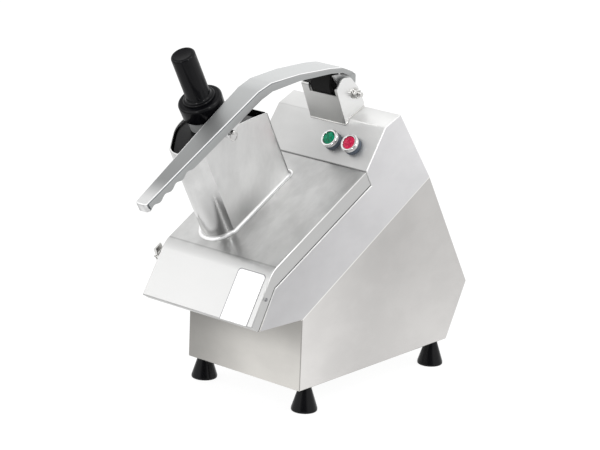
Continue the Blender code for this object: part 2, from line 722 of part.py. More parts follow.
def lever_stations():
    """Stations along the lever from tip to rear: top (y, z), half width, side depth, hollow depth."""
    tip, elbow = Vector(LEVER_TIP), Vector(LEVER_ELBOW)
    run = elbow - tip
    stations = []
    grip_steps = GRIP_WAVES * 8
    for step in range(grip_steps + 1):
        share = step / grip_steps
        distance = GRIP_LENGTH * share
        place = tip + run.normalized() * distance
        wave = GRIP_WAVE_DEPTH * (0.5 - 0.5 * math.cos(math.tau * GRIP_WAVES * share))
        width = TIP_HALF_WIDTH + (ELBOW_HALF_WIDTH - TIP_HALF_WIDTH) * distance / run.length
        if distance < TIP_ROUND:
            width -= TIP_ROUND - math.sqrt(TIP_ROUND ** 2 - (TIP_ROUND - distance) ** 2)
        stations.append((place, width, LEVER_DEPTH - wave, 0.0))
    for share in (0.55, 0.75, 0.9):
        place = tip + run * share
        width = TIP_HALF_WIDTH + (ELBOW_HALF_WIDTH - TIP_HALF_WIDTH) * share
        stations.append((place, width, LEVER_DEPTH, LEVER_DEPTH - LEVER_SKIN))
    bend = [Vector(LEVER_ELBOW), Vector((LEVER_ELBOW[0] + 0.028, LEVER_ELBOW[1] + 0.0095)),
            Vector(LEVER_CREST), Vector(LEVER_SHOULDER),
            Vector((LEVER_SHOULDER[0] + 0.028, LEVER_SHOULDER[1] - 0.0025)), Vector(LEVER_BACK)]
    start, end = bend[0].x, bend[-1].x
    for place in bend:
        share = (place.x - start) / (end - start)
        width = ELBOW_HALF_WIDTH + (BACK_HALF_WIDTH - ELBOW_HALF_WIDTH) * share
        depth = LEVER_DEPTH - (LEVER_DEPTH - 2.0 * LEVER_SKIN) * min(1.0, share * 1.6)
        stations.append((place, width, depth, depth - LEVER_SKIN))
    return stations


def make_lever():
    """Cast lever: a channel that narrows to a waved grip, with cheeks at the pivot and a lug below."""
    pivot = Vector((0.0, *PIVOT))
    bm = bmesh.new()
    rings = []
    stations = lever_stations()
    for index, (place, width, depth, hollow) in enumerate(stations):
        ahead = stations[min(index + 1, len(stations) - 1)][0]
        behind = stations[max(index - 1, 0)][0]
        step = (ahead - behind).normalized()
        down = Vector((step.y, -step.x))
        low = place + down * depth
        roof = place + down * (depth - hollow)
        inner = width - min(LEVER_SKIN, width * 0.4)
        corners = [(-width, place), (width, place), (width, low), (inner, low), (inner, roof),
                   (-inner, roof), (-inner, low), (-width, low)]
        rings.append([bm.verts.new((x, point.x, point.y)) for x, point in corners])
    tail = Vector(LEVER_END)
    width = BACK_HALF_WIDTH - LEVER_SKIN
    low = tail - Vector((LEVER_SKIN, 0.001))
    last = rings[-1]
    end = [bm.verts.new((x, *point)) for x, point in ((-width, tail), (width, tail), (width, low), (-width, low))]
    for first, second in zip(rings, rings[1:]):
        for index in range(8):
            after = (index + 1) % 8
            bm.faces.new((first[index], first[after], second[after], second[index]))
    bm.faces.new(list(reversed(rings[0])))
    bm.faces.new((last[0], last[1], end[1], end[0]))
    bm.faces.new((last[1], last[2], end[2], end[1]))
    bm.faces.new((last[7], last[0], end[0], end[3]))
    bm.faces.new((last[2], last[3], last[4], last[5], last[6], last[7], end[3], end[2]))
    bm.faces.new((end[0], end[1], end[2], end[3]))
    bmesh.ops.triangulate(bm, faces=[face for face in bm.faces if len(face.verts) > 4])
    lever = make("lever", bm, cast(), pivot)
    y, z = PIVOT
    cheek = rounded([(y - 0.045, z + 0.034), (y - 0.010, z - 0.009), (y + 0.009, z - 0.009),
                     (y + 0.009, z + 0.029)], [0.0, 0.007, 0.007, 0.0], 3)
    for side in (-1, 1):
        inner = side * CHEEK_X
        outer = side * (CHEEK_X + CHEEK_THICKNESS)
        combine(lever, prism(cheek, min(inner, outer), max(inner, outer), SIDE), "UNION")
    lug = rounded([(PIN_S - 0.014, PIN_H + 0.021), (PIN_S - 0.009, PIN_H - 0.0065), (PIN_S + 0.010, PIN_H - 0.0065),
                   (PIN_S + 0.024, PIN_H - 0.0015), (PIN_S + 0.066, PIN_H + 0.003), (PIN_S + 0.070, PIN_H + 0.0245)],
                  [0.0, 0.005, 0.006, 0.0, 0.004, 0.0], 3)
    combine(lever, prism(lug, -LUG_HALF_WIDTH, LUG_HALF_WIDTH, HEAD @ SIDE), "UNION")
    combine(lever, disc(PIVOT_RADIUS + RUNNING, -HALF_WIDTH, HALF_WIDTH, across(*PIVOT), 24))
    combine(lever, disc(PIN_RADIUS + SEAT, -HALF_WIDTH, HALF_WIDTH, HEAD @ across(PIN_S, PIN_H), 16))
    return lever


def make_lever_pin():
    """Pin through the lever's lug and the pusher's tongue, with a ring through its outer end."""
    pivot = Vector((0.0, *PIVOT))
    frame = HEAD @ across(PIN_S, PIN_H)
    left = tongue_left() - 0.002
    head = 0.0055
    profile = [(0.0, left - 0.003), (head, left - 0.003), (head, left), (PIN_RADIUS, left),
               (PIN_RADIUS, PIN_END_X - 0.001), (PIN_RADIUS - 0.001, PIN_END_X), (0.0, PIN_END_X)]
    pin = make("lever_pin", turned(profile, frame, 16), cast(), pivot)
    ring_x = PIN_END_X - 0.004
    eye = basis(Vector((1.0, 0.0, 0.0)), Vector((0.0, 0.0, -1.0)), Vector((0.0, 1.0, 0.0)), Vector((ring_x, 0.0, 0.0)))
    hole = HEAD @ Matrix.Translation((0.0, PIN_S, PIN_H)) @ eye
    combine(pin, disc(RING_WIRE + RING_SAG + RUNNING, -0.01, 0.01, hole, 12))
    circle = [(RING_RADIUS + RING_WIRE * math.cos(a), RING_WIRE * math.sin(a))
              for a in (math.tau * step / 8 for step in range(8))]
    place = HEAD @ across(PIN_S, PIN_H + RING_SAG - RING_RADIUS) @ Matrix.Translation((0.0, 0.0, ring_x))
    make("pin_ring", turned(circle, place, 24, True), steel(), pivot)


def bracket_frame():
    """Foot of the leaning front plate on the panel, the plate's direction and the step behind it."""
    slope = direction(PANEL_ANGLE)
    foot = PANEL_TOP - slope * BRACKET_FOOT + Vector((-slope.y, slope.x)) * SEAT
    lean = direction(BRACKET_LEAN)
    return foot, lean, Vector((lean.y, -lean.x))


def make_bracket():
    """Folded bracket for the lever: a base over the housing's edge, a leaning front and two ears."""
    foot, lean, back = bracket_frame()
    slope, level = direction(PANEL_ANGLE), direction(TOP_ANGLE)
    slope_out, lift = Vector((-slope.y, slope.x)), Vector((-level.y, level.x))
    floor = PANEL_TOP + lift * SEAT
    edge = meet(foot, slope, floor, level)
    rear = floor + level * TOP_LENGTH
    front_top = foot + lean * BRACKET_FRONT_LENGTH
    y, z = PIVOT
    ear = rounded([foot, front_top, (y - 0.0315, z + 0.0285), (y - 0.0120, z + 0.0275), (y + 0.0075, z + 0.0095),
                   rear + Vector((0.0, 0.005)), rear, edge], [0.0, 0.004, 0.010, 0.012, 0.020, 0.006, 0.0, 0.0], 4)
    wall = BRACKET_SHEET
    bracket = make("lever_bracket", prism(ear, -BRACKET_HALF_WIDTH, BRACKET_HALF_WIDTH, SIDE), steel())
    inner = BRACKET_HALF_WIDTH - wall
    corner = meet(foot + slope_out * wall, slope, foot + back * wall, lean)
    fold = meet(foot + slope_out * wall, slope, floor + lift * wall, level)
    hollow = [corner, corner + lean * 0.2, fold + level * 0.2 + lean * 0.2, fold + level * 0.2, fold]
    combine(bracket, prism(hollow, -inner, inner, SIDE))
    notch = [front_top - lean * 0.012, front_top + lean * 0.03, front_top + lean * 0.03 + back * 0.03,
             front_top - lean * 0.012 + back * 0.03]
    shift = back * -0.010
    combine(bracket, prism([point + shift for point in notch], -inner + 0.012, inner - 0.002, SIDE))
    combine(bracket, disc(PIVOT_RADIUS + SEAT, -HALF_WIDTH, HALF_WIDTH, across(*PIVOT), 24))
    low = SEAT + wall + SEAT
    head = [(0.0, low), (0.0045, low), (0.004, low + 0.003), (0.0, low + 0.003)]
    base = tilted(TOP_ANGLE, Vector((0.0, PANEL_TOP.x, PANEL_TOP.y)))
    for name, side in (("left", -1), ("right", 1)):
        place = base @ Matrix.Translation((side * BRACKET_SCREW_X, TOP_LENGTH / 2.0, 0.0))
        make(f"bracket_screw_{name}", turned(head, place, 12), dark_steel())
    return bracket


def make_lever_stop():
    """Black block inside the bracket on which the lever comes down."""
    foot, lean, back = bracket_frame()
    top = foot + lean * BRACKET_FRONT_LENGTH + back * (BRACKET_SHEET + SEAT)
    low = top - lean * 0.026
    crown = Vector((top.x, LEVER_SHOULDER[1] - 0.011))
    rear = Vector(LEVER_BACK) - Vector((0.020, 0.0025))
    outline = [low, top, crown, rear, rear - Vector((0.0, 0.0195)), low + back * 0.020]
    return make("lever_stop", prism(outline, -STOP_HALF_WIDTH, STOP_HALF_WIDTH, SIDE), rubber())


def make_pivot_bolt():
    """Bolt through bracket and lever with its head on the left and a nut on a washer."""
    frame = across(*PIVOT)
    left = -BRACKET_HALF_WIDTH - SEAT
    bolt = make("pivot_bolt", disc(PIVOT_RADIUS, left - 0.001, 0.0500, frame, 24), dark_steel())
    combine(bolt, disc(0.0075, left - 0.0055, left, frame, 6), "UNION")
    nut_x = BRACKET_HALF_WIDTH + 0.001 + 2.0 * SEAT
    nut = make("pivot_nut", disc(0.0075, nut_x, nut_x + 0.0065, frame, 6), steel())
    combine(nut, disc(PIVOT_RADIUS + SEAT, nut_x - 0.001, nut_x + 0.0075, frame, 24))
    washer = tube(PIVOT_RADIUS + SEAT, 0.009, BRACKET_HALF_WIDTH + SEAT, nut_x - SEAT, frame, 24)
    make("pivot_washer", washer, steel())


def button_places():
    return [BUTTON_X, BUTTON_X + BUTTON_PITCH]


def make_buttons():
    """Start and stop buttons: a collar, a bright bezel, a coloured cap and the switch behind."""
    colours = ((0.0, 0.20, 0.08), (0.55, 0.02, 0.06))
    for name, x, colour in zip(("start", "stop"), button_places(), colours):
        frame = PANEL @ Matrix.Translation((x, BUTTON_RISE, 0.0))
        bore = CAP_FACE_RADIUS + RUNNING
        make(f"{name}_collar", tube(bore, COLLAR_RADIUS, SEAT, COLLAR_HEIGHT, frame, 32), black_plastic())
        low = COLLAR_HEIGHT + SEAT
        top = low + BEZEL_HEIGHT
        ring = [(bore, low), (BEZEL_RADIUS, low), (BEZEL_RADIUS, top - 0.002), (BEZEL_RADIUS - 0.002, top), (bore, top)]
        make(f"{name}_bezel", turned(ring, frame, 32, True), white_metal())
        cap_low = CAP_TRAVEL + 0.001
        cap = [(0.0, cap_low), (CAP_FACE_RADIUS, cap_low), (CAP_FACE_RADIUS, top - 0.001),
               (CAP_FACE_RADIUS - 0.001, top), (0.0, top + 0.0006)]
        surface = material(f"{name}_colour", colour, 0.3, 0.0)
        make(f"{name}_button", turned(cap, frame, 32), surface, frame.translation)
        neck = BUTTON_HOLE - SEAT
        switch = make(f"{name}_switch", disc(neck, -0.006, 0.0006, frame, 24), black_plastic())
        combine(switch, box((-0.014, -0.014, -0.036), (0.014, 0.014, -SHEET - SEAT), frame), "UNION")


def make_disc_chamber():
    """Bowl under the lid with a flange on the housing, a bearing boss and a mouth at the front."""
    top = -LID_SKIRT + SEAT
    outer = BOWL_RADIUS + BOWL_WALL
    floor = top - BOWL_DEPTH
    boss = BEARING_RADIUS + 0.005
    seat = BEARING_RADIUS + SEAT
    under = floor - BOWL_WALL - BEARING_WIDTH
    profile = [(outer + BOWL_FLANGE - 0.0015, top), (outer + BOWL_FLANGE - 0.0015, top + BOWL_WALL),
               (BOWL_RADIUS, top + BOWL_WALL), (BOWL_RADIUS, floor), (SHAFT_RADIUS + 0.002, floor),
               (SHAFT_RADIUS + 0.002, floor - BOWL_WALL), (seat, floor - BOWL_WALL), (seat, under),
               (boss, under), (boss, floor - BOWL_WALL), (outer, floor - BOWL_WALL), (outer, top)]
    bowl = make("disc_chamber", turned(profile, on_head(0.0, DISC_S), 48, True), cast())
    mouth = box((-MOUTH_HALF_WIDTH, -0.25, floor + 0.0005), (MOUTH_HALF_WIDTH, DISC_S - 0.070, top - 0.003), HEAD)
    combine(bowl, mouth)
    ring = tube(SHAFT_RADIUS + RUNNING, BEARING_RADIUS, under + 0.001, floor - BOWL_WALL - SEAT, on_head(0.0, DISC_S), 32)
    make("upper_bearing", ring, dark_steel())
    return bowl


def chute_outline(inset):
    """Side view of the discharge duct between the bowl's mouth and the housing's underside."""
    low = min(BASE_FRONT_TOP.y, BROW_LOW.y) - CHUTE_DROP
    wall = BOWL_RADIUS + BOWL_WALL + 0.001
    mouth_low = head_side(DISC_S - wall, -LID_SKIRT - BOWL_DEPTH - BOWL_WALL)
    mouth_high = head_side(DISC_S - wall, -LID_SKIRT - SHEET - 0.003)
    brow = meet(BROW_LOW + APRON_IN * (SHEET + 0.001), APRON, head_side(0.0, -LID_SKIRT - SHEET - 0.003),
                direction(LID_ANGLE))
    front = meet(BROW_LOW + APRON_IN * (SHEET + 0.001), APRON, Vector((CHUTE_FRONT_Y, 0.0)), Vector((0.0, 1.0)))
    rear_top = Vector((CHUTE_REAR_Y, mouth_low.y))
    outline = [Vector((CHUTE_FRONT_Y, low)), front, brow, mouth_high, mouth_low - Vector((0.002, 0.0)),
               Vector((CHUTE_REAR_Y, low + 0.02)), Vector((CHUTE_REAR_Y, low))]
    if inset == 0.0:
        return outline
    outline[0].x += inset
    outline[-1].x -= inset
    return outline


def make_chute():
    """Open duct of thin sheet that leads the cut food down in front of the housing."""
    outline = chute_outline(0.0)
    half = MOUTH_HALF_WIDTH + 2.0 * SHEET
    wall = 0.0015
    chute = make("discharge_chute", prism(outline, -half, half, SIDE), steel())
    inner = offset(outline, [wall, wall, wall, -0.004, wall, wall, -0.004])
    combine(chute, prism(inner, wall - half, half - wall, SIDE))
    return chute


def make_cutting_disc():
    """Disc with slots and raised blades on a hub, the ejector below and the pulley on one shaft."""
    frame = on_head(0.0, DISC_S)
    pivot = frame.translation
    bore = SHAFT_RADIUS + SEAT
    low = DISC_TOP - DISC_THICKNESS
    plate = [(bore, low), (DISC_RADIUS - 0.003, low), (DISC_RADIUS, low + 0.0012), (DISC_RADIUS, DISC_TOP - 0.0008),
             (DISC_RADIUS - 0.001, DISC_TOP), (bore, DISC_TOP)]
    cutting = make("cutting_disc", turned(plate, frame, 48, True), steel(), pivot)
    outer_end = DISC_RADIUS - BLADE_MARGIN
    for index in range(BLADES):
        turn = frame @ Matrix.Rotation(math.tau * index / BLADES, 4, "Z")
        slot = box((BLADE_INNER, 0.004, low - 0.002), (outer_end, 0.004 + SLOT_WIDTH, DISC_TOP + 0.002), turn)
        combine(cutting, slot, pivot=pivot)
        rise = DISC_TOP + SEAT
        edge = rise + BLADE_RISE
        outline = [(0.004 - BLADE_WIDTH, rise), (0.003, rise), (0.004 + SLOT_WIDTH * 0.55, edge),
                   (0.004 + SLOT_WIDTH * 0.55, edge + 0.0002), (0.003, rise + BLADE_THICKNESS),
                   (0.004 - BLADE_WIDTH, rise + BLADE_THICKNESS)]
        lay = turn @ SIDE
        blade = prism(outline, BLADE_INNER, outer_end, lay)
        make(f"blade_{index + 1}", blade, polished(), pivot)
    nut = [(0.0, DISC_TOP + SEAT), (0.013, DISC_TOP + SEAT), (0.012, DISC_TOP + 0.006), (0.0, DISC_TOP + 0.0065)]
    knob = make("disc_nut", turned(nut, frame, 8), dark_steel(), pivot)
    combine(knob, disc(bore, DISC_TOP - 0.002, DISC_TOP + 0.003, frame, 20), pivot=pivot)
    hub_low = EJECTOR_TOP + 0.020
    make("disc_hub", tube(bore, 0.022, hub_low + SEAT, low - SEAT, frame, 32), cast(), pivot)
    base = EJECTOR_TOP - 0.0025
    shape = [(bore, base), (EJECTOR_RADIUS, base), (EJECTOR_RADIUS, EJECTOR_TOP), (0.020, EJECTOR_TOP),
             (0.017, hub_low), (bore, hub_low)]
    ejector = make("ejector_plate", turned(shape, frame, 36, True), black_plastic(), pivot)
    for index in range(EJECTOR_VANES):
        turn = frame @ Matrix.Rotation(math.tau * index / EJECTOR_VANES, 4, "Z")
        vane = box((0.016, -0.0012, EJECTOR_TOP - 0.001), (EJECTOR_RADIUS - 0.002, 0.0012, EJECTOR_TOP + 0.009), turn)
        combine(ejector, vane, "UNION", pivot)
    shaft_low = DECK_H - DECK_THICKNESS - BEARING_WIDTH - 0.003
    make("drive_shaft", disc(SHAFT_RADIUS, shaft_low, DISC_TOP + 0.0025, frame, 24), dark_steel(), pivot)
    make("driven_pulley", pulley(DISC_PULLEY_RADIUS, bore, frame, 32), cast(), pivot)


def pulley(radius, bore, frame, segments):
    """Flat belt pulley with a low flange on each side."""
    half = BELT_WIDTH / 2.0 + SEAT
    edge = half + 0.0015
    lip = radius + PULLEY_FLANGE
    profile = [(bore, PULLEY_H - edge), (lip, PULLEY_H - edge), (lip, PULLEY_H - half), (radius, PULLEY_H - half),
               (radius, PULLEY_H + half), (lip, PULLEY_H + half), (lip, PULLEY_H + edge), (bore, PULLEY_H + edge)]
    return turned(profile, frame, segments, True)


def belt_outline(play):
    """Belt line around both pulleys, a distance outside their rims."""
    large = DISC_PULLEY_RADIUS + play
    small = MOTOR_PULLEY_RADIUS + play
    span = MOTOR_S - DISC_S
    tilt = math.acos((large - small) / span)
    points = arc((0.0, DISC_S), large, math.pi / 2.0 + tilt, math.tau + math.pi / 2.0 - tilt, 18)
    points += arc((0.0, MOTOR_S), small, math.pi / 2.0 - tilt, math.pi / 2.0 + tilt, 12)
    return points


def make_drive():
    """Bearing plate inside the housing with the motor hung below it and a flat belt above."""
    half = HALF_WIDTH - SHEET - SEAT
    low = DECK_H - DECK_THICKNESS
    deck = make("motor_deck", box((-half, DECK_FRONT_S, low), (half, DECK_REAR_S, DECK_H), HEAD), steel())
    combine(deck, disc(SHAFT_RADIUS + 0.002, low - 0.01, DECK_H + 0.01, on_head(0.0, DISC_S), 24))
    combine(deck, disc(MOTOR_SHAFT_RADIUS + 0.004, low - 0.01, DECK_H + 0.01, on_head(0.0, MOTOR_S), 24))
    frame = on_head(0.0, DISC_S)
    under = low - SEAT
    carrier = [(BEARING_RADIUS + SEAT, under), (0.032, under), (0.032, under - 0.004), (0.022, under - BEARING_WIDTH),
               (BEARING_RADIUS + SEAT, under - BEARING_WIDTH)]
    make("bearing_carrier", turned(carrier, frame, 32, True), cast())
    lower = tube(SHAFT_RADIUS + RUNNING, BEARING_RADIUS, under - BEARING_WIDTH, under - SEAT, frame, 32)
    make("lower_bearing", lower, dark_steel())
    place = on_head(0.0, MOTOR_S)
    end = under - MOTOR_LENGTH
    bore = MOTOR_SHAFT_RADIUS + RUNNING
    body = [(0.0, under - 0.024), (bore, under - 0.024), (bore, under), (MOTOR_RADIUS - 0.006, under),
            (MOTOR_RADIUS - 0.002, under - 0.012), (MOTOR_RADIUS, under - 0.014), (MOTOR_RADIUS, end + 0.020),
            (MOTOR_RADIUS - 0.003, end + 0.018), (MOTOR_RADIUS - 0.010, end), (0.0, end)]
    make("motor", turned(body, place, 32), paint())
    rotor = place.translation
    shaft = disc(MOTOR_SHAFT_RADIUS, under - 0.023, PULLEY_H + BELT_WIDTH / 2.0 + 0.004, place, 20)
    make("motor_shaft", shaft, dark_steel(), rotor)
    make("motor_pulley", pulley(MOTOR_PULLEY_RADIUS, MOTOR_SHAFT_RADIUS + SEAT, place, 24), cast(), rotor)
    width = BELT_WIDTH / 2.0
    belt = make("drive_belt", prism(belt_outline(SEAT + BELT_THICKNESS), PULLEY_H - width, PULLEY_H + width, HEAD), rubber())
    combine(belt, prism(belt_outline(SEAT), PULLEY_H - 2.0 * width, PULLEY_H + 2.0 * width, HEAD))


def make_electrics():
    """Control box on the bottom plate and the switch that the closed lid keeps on."""
    floor = FOOT_HEIGHT + SHEET + SEAT
    half = CONTROL_WIDTH / 2.0
    case = box((-half, CONTROL_Y, floor), (half, CONTROL_Y + CONTROL_LENGTH, floor + CONTROL_HEIGHT))
    make("control_box", soften(case, EDGE, 1), black_plastic())
    top = -LID_SKIRT - SHEET - SEAT
    reach = BOWL_RADIUS + BOWL_WALL + BOWL_FLANGE
    x, s = reach * math.cos(SWITCH_ANGLE), DISC_S + reach * math.sin(SWITCH_ANGLE)
    case = box((x, s, top - SWITCH_DEPTH), (x + SWITCH_WIDTH, s + SWITCH_LENGTH, top), HEAD)
    make("lid_switch", case, black_plastic())


def make_latch():
    """Draw latch: base and lever on the lid, wire bail hooked under a keeper on the housing."""
    frame = latch_frame()
    half = LATCH_HALF_WIDTH
    up, out = LATCH_PIVOT_UP, LATCH_PIVOT_OUT
    pivot = frame @ Vector((0.0, up, out))
    along = basis(Vector((0.0, 1.0, 0.0)), Vector((0.0, 0.0, 1.0)), Vector((1.0, 0.0, 0.0)), Vector())
    lay = frame @ along
    base = make("latch_base", box((-half, 0.001, SEAT), (half, 0.018, 0.0017), frame), steel())
    ear_in = half - 0.0018
    for side in (-1, 1):
        low, high = sorted((side * ear_in, side * (half - 0.0002)))
        ear = rounded([(0.0014, 0.001), (0.007, 0.001), (0.006, out + 0.0018), (0.0016, out + 0.0018)],
                      [0.0, 0.0, 0.0015, 0.0015], 3)
        combine(base, prism(ear, low, high, lay), "UNION")
    pin = 0.0011
    pin_place = lay @ Matrix.Translation((up, out, 0.0))
    combine(base, disc(pin, -half + 0.0005, half - 0.0005, pin_place, 10), "UNION")
    lever_half = ear_in - 0.0004
    inner = out + 0.0024
    plate = rounded([(up - 0.0005, inner), (LATCH_LEVER_TOP, inner), (LATCH_LEVER_TOP, LATCH_LEVER_OUT - 0.003),
                     (LATCH_LEVER_TOP - 0.004, LATCH_LEVER_OUT), (up - 0.0005, LATCH_LEVER_OUT)],
                    [0.0, 0.001, 0.001, 0.001, 0.002], 2)
    lever = make("latch_lever", prism(plate, -lever_half, lever_half, lay), cast(), pivot)
    combine(lever, disc(0.0022, -lever_half + 0.0004, lever_half - 0.0004, pin_place, 12), "UNION")
    neck = lever_half - 0.0007
    combine(lever, box((-neck, up - 0.0015, out), (neck, up + 0.0015, inner + 0.0008), frame), "UNION")
    combine(lever, disc(pin + RUNNING, -half, half, pin_place, 10))
    stud = lay @ Matrix.Translation((LATCH_STUD_UP, LATCH_STUD_OUT, 0.0))
    leg = half + BAIL_WIRE + 0.0004
    combine(lever, disc(0.0008, -leg - BAIL_WIRE, leg + BAIL_WIRE, stud, 8), "UNION")
    eye = frame @ Vector((0.0, LATCH_STUD_UP, LATCH_STUD_OUT))
    bail_bar = LATCH_STUD_UP - BAIL_REACH
    bail = make("latch_bail", tube(0.0008 + RUNNING, 0.0024, leg - BAIL_WIRE, leg + BAIL_WIRE, stud, 12), steel(), eye)
    combine(bail, tube(0.0008 + RUNNING, 0.0024, -leg - BAIL_WIRE, BAIL_WIRE - leg, stud, 12), "UNION", eye)
    bar_out = 0.0045
    wire = BAIL_WIRE
    start_up = LATCH_STUD_UP - 0.0016
    start_out = LATCH_STUD_OUT - 0.0004
    slant = Vector((bail_bar - start_up, bar_out - start_out)).normalized()
    square = Vector((-slant.y, slant.x)) * wire
    first = Vector((start_up, start_out))
    last = Vector((bail_bar, bar_out))
    for side in (-1, 1):
        low, high = sorted((side * (leg - wire), side * (leg + wire)))
        combine(bail, prism([first + square, first - square, last - square, last + square], low, high, lay), "UNION", eye)
    bar = lay @ Matrix.Translation((bail_bar, bar_out, 0.0))
    combine(bail, disc(wire, -leg - wire, leg + wire, bar, 10), "UNION", eye)
    keeper = make("latch_keeper", box((-half, bail_bar - 0.006, SEAT), (half, -0.002, 0.0017), frame), steel())
    lip_low = bail_bar + wire + 0.0005
    lip = half - 0.003
    combine(keeper, box((-lip, lip_low, 0.001), (lip, lip_low + 0.0016, bar_out + wire), frame), "UNION")
    return keeper


def build():
    clear_scene()
    make_housing()
    make_cable_gland()
    make_bottom_plate()
    make_feet()
    make_lid()
    make_hopper()
    make_food_pusher()
    make_feed_tube()
    make_round_pusher()
    make_lever()
    make_lever_pin()
    make_bracket()
    make_lever_stop()
    make_pivot_bolt()
    make_buttons()
    make_disc_chamber()
    make_chute()
    make_cutting_disc()
    make_drive()
    make_electrics()
    make_latch()


build()
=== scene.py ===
"""Looks of the vegetable cutter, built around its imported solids.

Lengths are in metres in the frame of the solids: X to the right, Y to the back and Z up from the floor.
"""
import json
import math

import bmesh
import bpy
from bpy.props import FloatProperty, FloatVectorProperty, PointerProperty
from mathutils import Matrix, Vector


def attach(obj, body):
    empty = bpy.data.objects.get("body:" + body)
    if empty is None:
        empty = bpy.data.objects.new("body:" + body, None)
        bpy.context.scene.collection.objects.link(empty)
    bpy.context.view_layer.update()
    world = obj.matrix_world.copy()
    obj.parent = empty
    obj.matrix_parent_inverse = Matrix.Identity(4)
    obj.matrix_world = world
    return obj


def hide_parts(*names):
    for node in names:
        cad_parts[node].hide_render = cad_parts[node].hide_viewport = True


bl_info = {
    "name": "Vegetable cutter",
    "version": (1, 0, 0),
    "blender": (4, 5, 0),
    "location": "3D View > Sidebar > Cutter",
    "description": "Builds the finished look of a vegetable cutter around its solids",
    "category": "Object",
}

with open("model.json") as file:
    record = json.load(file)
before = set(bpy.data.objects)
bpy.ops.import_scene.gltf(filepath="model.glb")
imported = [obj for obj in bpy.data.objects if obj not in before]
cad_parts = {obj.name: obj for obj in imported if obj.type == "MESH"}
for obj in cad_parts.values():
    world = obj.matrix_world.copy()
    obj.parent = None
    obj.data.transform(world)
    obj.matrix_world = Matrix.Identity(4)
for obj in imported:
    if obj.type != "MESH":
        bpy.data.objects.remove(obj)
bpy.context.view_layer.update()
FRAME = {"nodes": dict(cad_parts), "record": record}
SLOTS = {row["node"]: row["material_slot"] for row in FRAME["record"]["subparts"]}
BODIES = {node: body for body, nodes in FRAME["record"]["behaviour"]["bodies"].items() for node in nodes}

RIGHT = Vector((1.0, 0.0, 0.0))
BACK = Vector((0.0, 1.0, 0.0))
FRONT = Vector((0.0, -1.0, 0.0))
UP = Vector((0.0, 0.0, 1.0))
QUARTER = math.pi / 2.0
# Direction along which no two parts of a mesh lie level
ORDER = Vector((1.0, 17.31, 313.7))

# Middle of the drawing in the frame of the solids, and the slopes in its side view
DRAWING = Vector((0.0, -0.086633, 0.0))
LID_ANGLE = math.radians(28.5)
PANEL_ANGLE = math.radians(55.0)
APRON_ANGLE = math.radians(59.6)
FOLD_ANGLE = math.radians(29.6)
TOP_ANGLE = math.radians(22.5)
LEVER_SLOPE = math.radians(30.52)

# Small gap in which a new piece stands off the solid below it
SEAT = 0.0003

# Line where the lid meets the panel, and the fold along the flanks
SEAM_Y = 0.145
SEAM_Z = 0.3573
FOLD_FOOT = Vector((0.0, 0.0, 0.1528))

# Lid with its skirts, apron and side flaps
LID_LENGTH = 0.2405
LID_SKIRT = 0.0270
LID_HALF_WIDTH = 0.1153
APRON_END = DRAWING + Vector((0.0, -0.1119, 0.1649))
FLAP_FOOT = DRAWING + Vector((0.0, -0.0955, 0.1553))
SKIRT_SCREW = Vector((0.1146, -0.0853, 0.2045))
SCREW_HEAD = [(0.0, 0.0), (0.0030, 0.0), (0.0030, 0.0010), (0.0024, 0.0016), (0.0, 0.0018)]

# Blank plate on the apron, across and along it, and the painted shadow line round it
PLATE_MIDDLE = 0.0748
PLATE_HALF_WIDTH = 0.0260
PLATE_TOP = -0.0085
PLATE_END = -0.0892
PLATE_ROUND = 0.006
PLATE_LOW = 0.0003
PLATE_HIGH = 0.0008
BORDER_LEFT = 0.0014
BORDER_RIGHT = 0.0005
BORDER_LOW = 0.0001
BORDER_HIGH = 0.0004

# Hopper's plan on the lid and the curve of its rim
HOPPER_S = -0.106
NOSE_PLACE = (-0.042, -0.183)
NOSE_END = 0.30
NOSE_STEP = 0.003
LEFT_CORNER = 0.006
RIM_REAR = 0.120
RIM_RISE = 0.471
RIM_CROWN = 1.2

# Feed tube and the round pusher in it
TUBE_X = -0.058
TUBE_S = -0.119
TUBE_TOP = 0.170
PLUNGER_RADIUS = 0.0266
PLUNGER_END = 0.003
CAP_RADIUS = 0.0345
CAP_HEIGHT = 0.027
CAP_ROUND = 0.0040
COLLAR_HEIGHT = 0.0035
COLLAR_ROUND = 0.0020
COLLAR_FILLET = 0.0042
GRIP_RADIUS = 0.0190
GRIP_TOP = 0.280
GRIP_ROUND = 0.0038
GRIP_DISH = 0.0016

# Lever: its tip in the side view, the rounding of its top edges, and the ramps at the side of its lug
# and at the end of the shade on it
LEVER_TIP = (-0.2380, 0.3564)
LEVER_EDGE = 0.0028
LUG_HALF_WIDTH = (0.0085, 0.0095)
LUG_SHADE = (0.0225, 0.0245)

# Lever's bracket on the panel's top edge
PANEL_LENGTH = 0.0755
BRACKET_FOOT = 0.0105
BRACKET_HALF_WIDTH = 0.036
BRACKET_SEAT_LENGTH = 0.0395
WELD_RADIUS = 0.0013
WELD_HEIGHT = 0.0006

# Push buttons on the panel
BUTTON_X = 0.0265
BUTTON_PITCH = 0.040
BUTTON_RISE = 0.0343
BEZEL_LOW = 0.0093
BEZEL_TOP = 0.0153
BEZEL_RADIUS = 0.0150
BEZEL_BORE = 0.0107
BEZEL_ROUND = 0.0024
BORE_ROUND = 0.0008
CAP_LOW = 0.0050
CAP_FACE = 0.0142
CAP_FACE_RADIUS = 0.0104

# Lamps look at the middle of the machine; only rounded edges mirror the two edge lamps to the camera
MIDDLE = Vector((0.0, 0.0, 0.3))
LAMP_SIZE = 0.7
EDGE_LAMP_SIZE = 0.4
EDGE_LAMP_POWER = 8.0
EDGE_LAMP_DISTANCE = 3.0
EDGE_LAMPS = {"front edges": Vector((0.06, -0.93, 0.37)), "right edges": Vector((0.76, -0.39, 0.50))}
FLOOR_REACH = 12.0

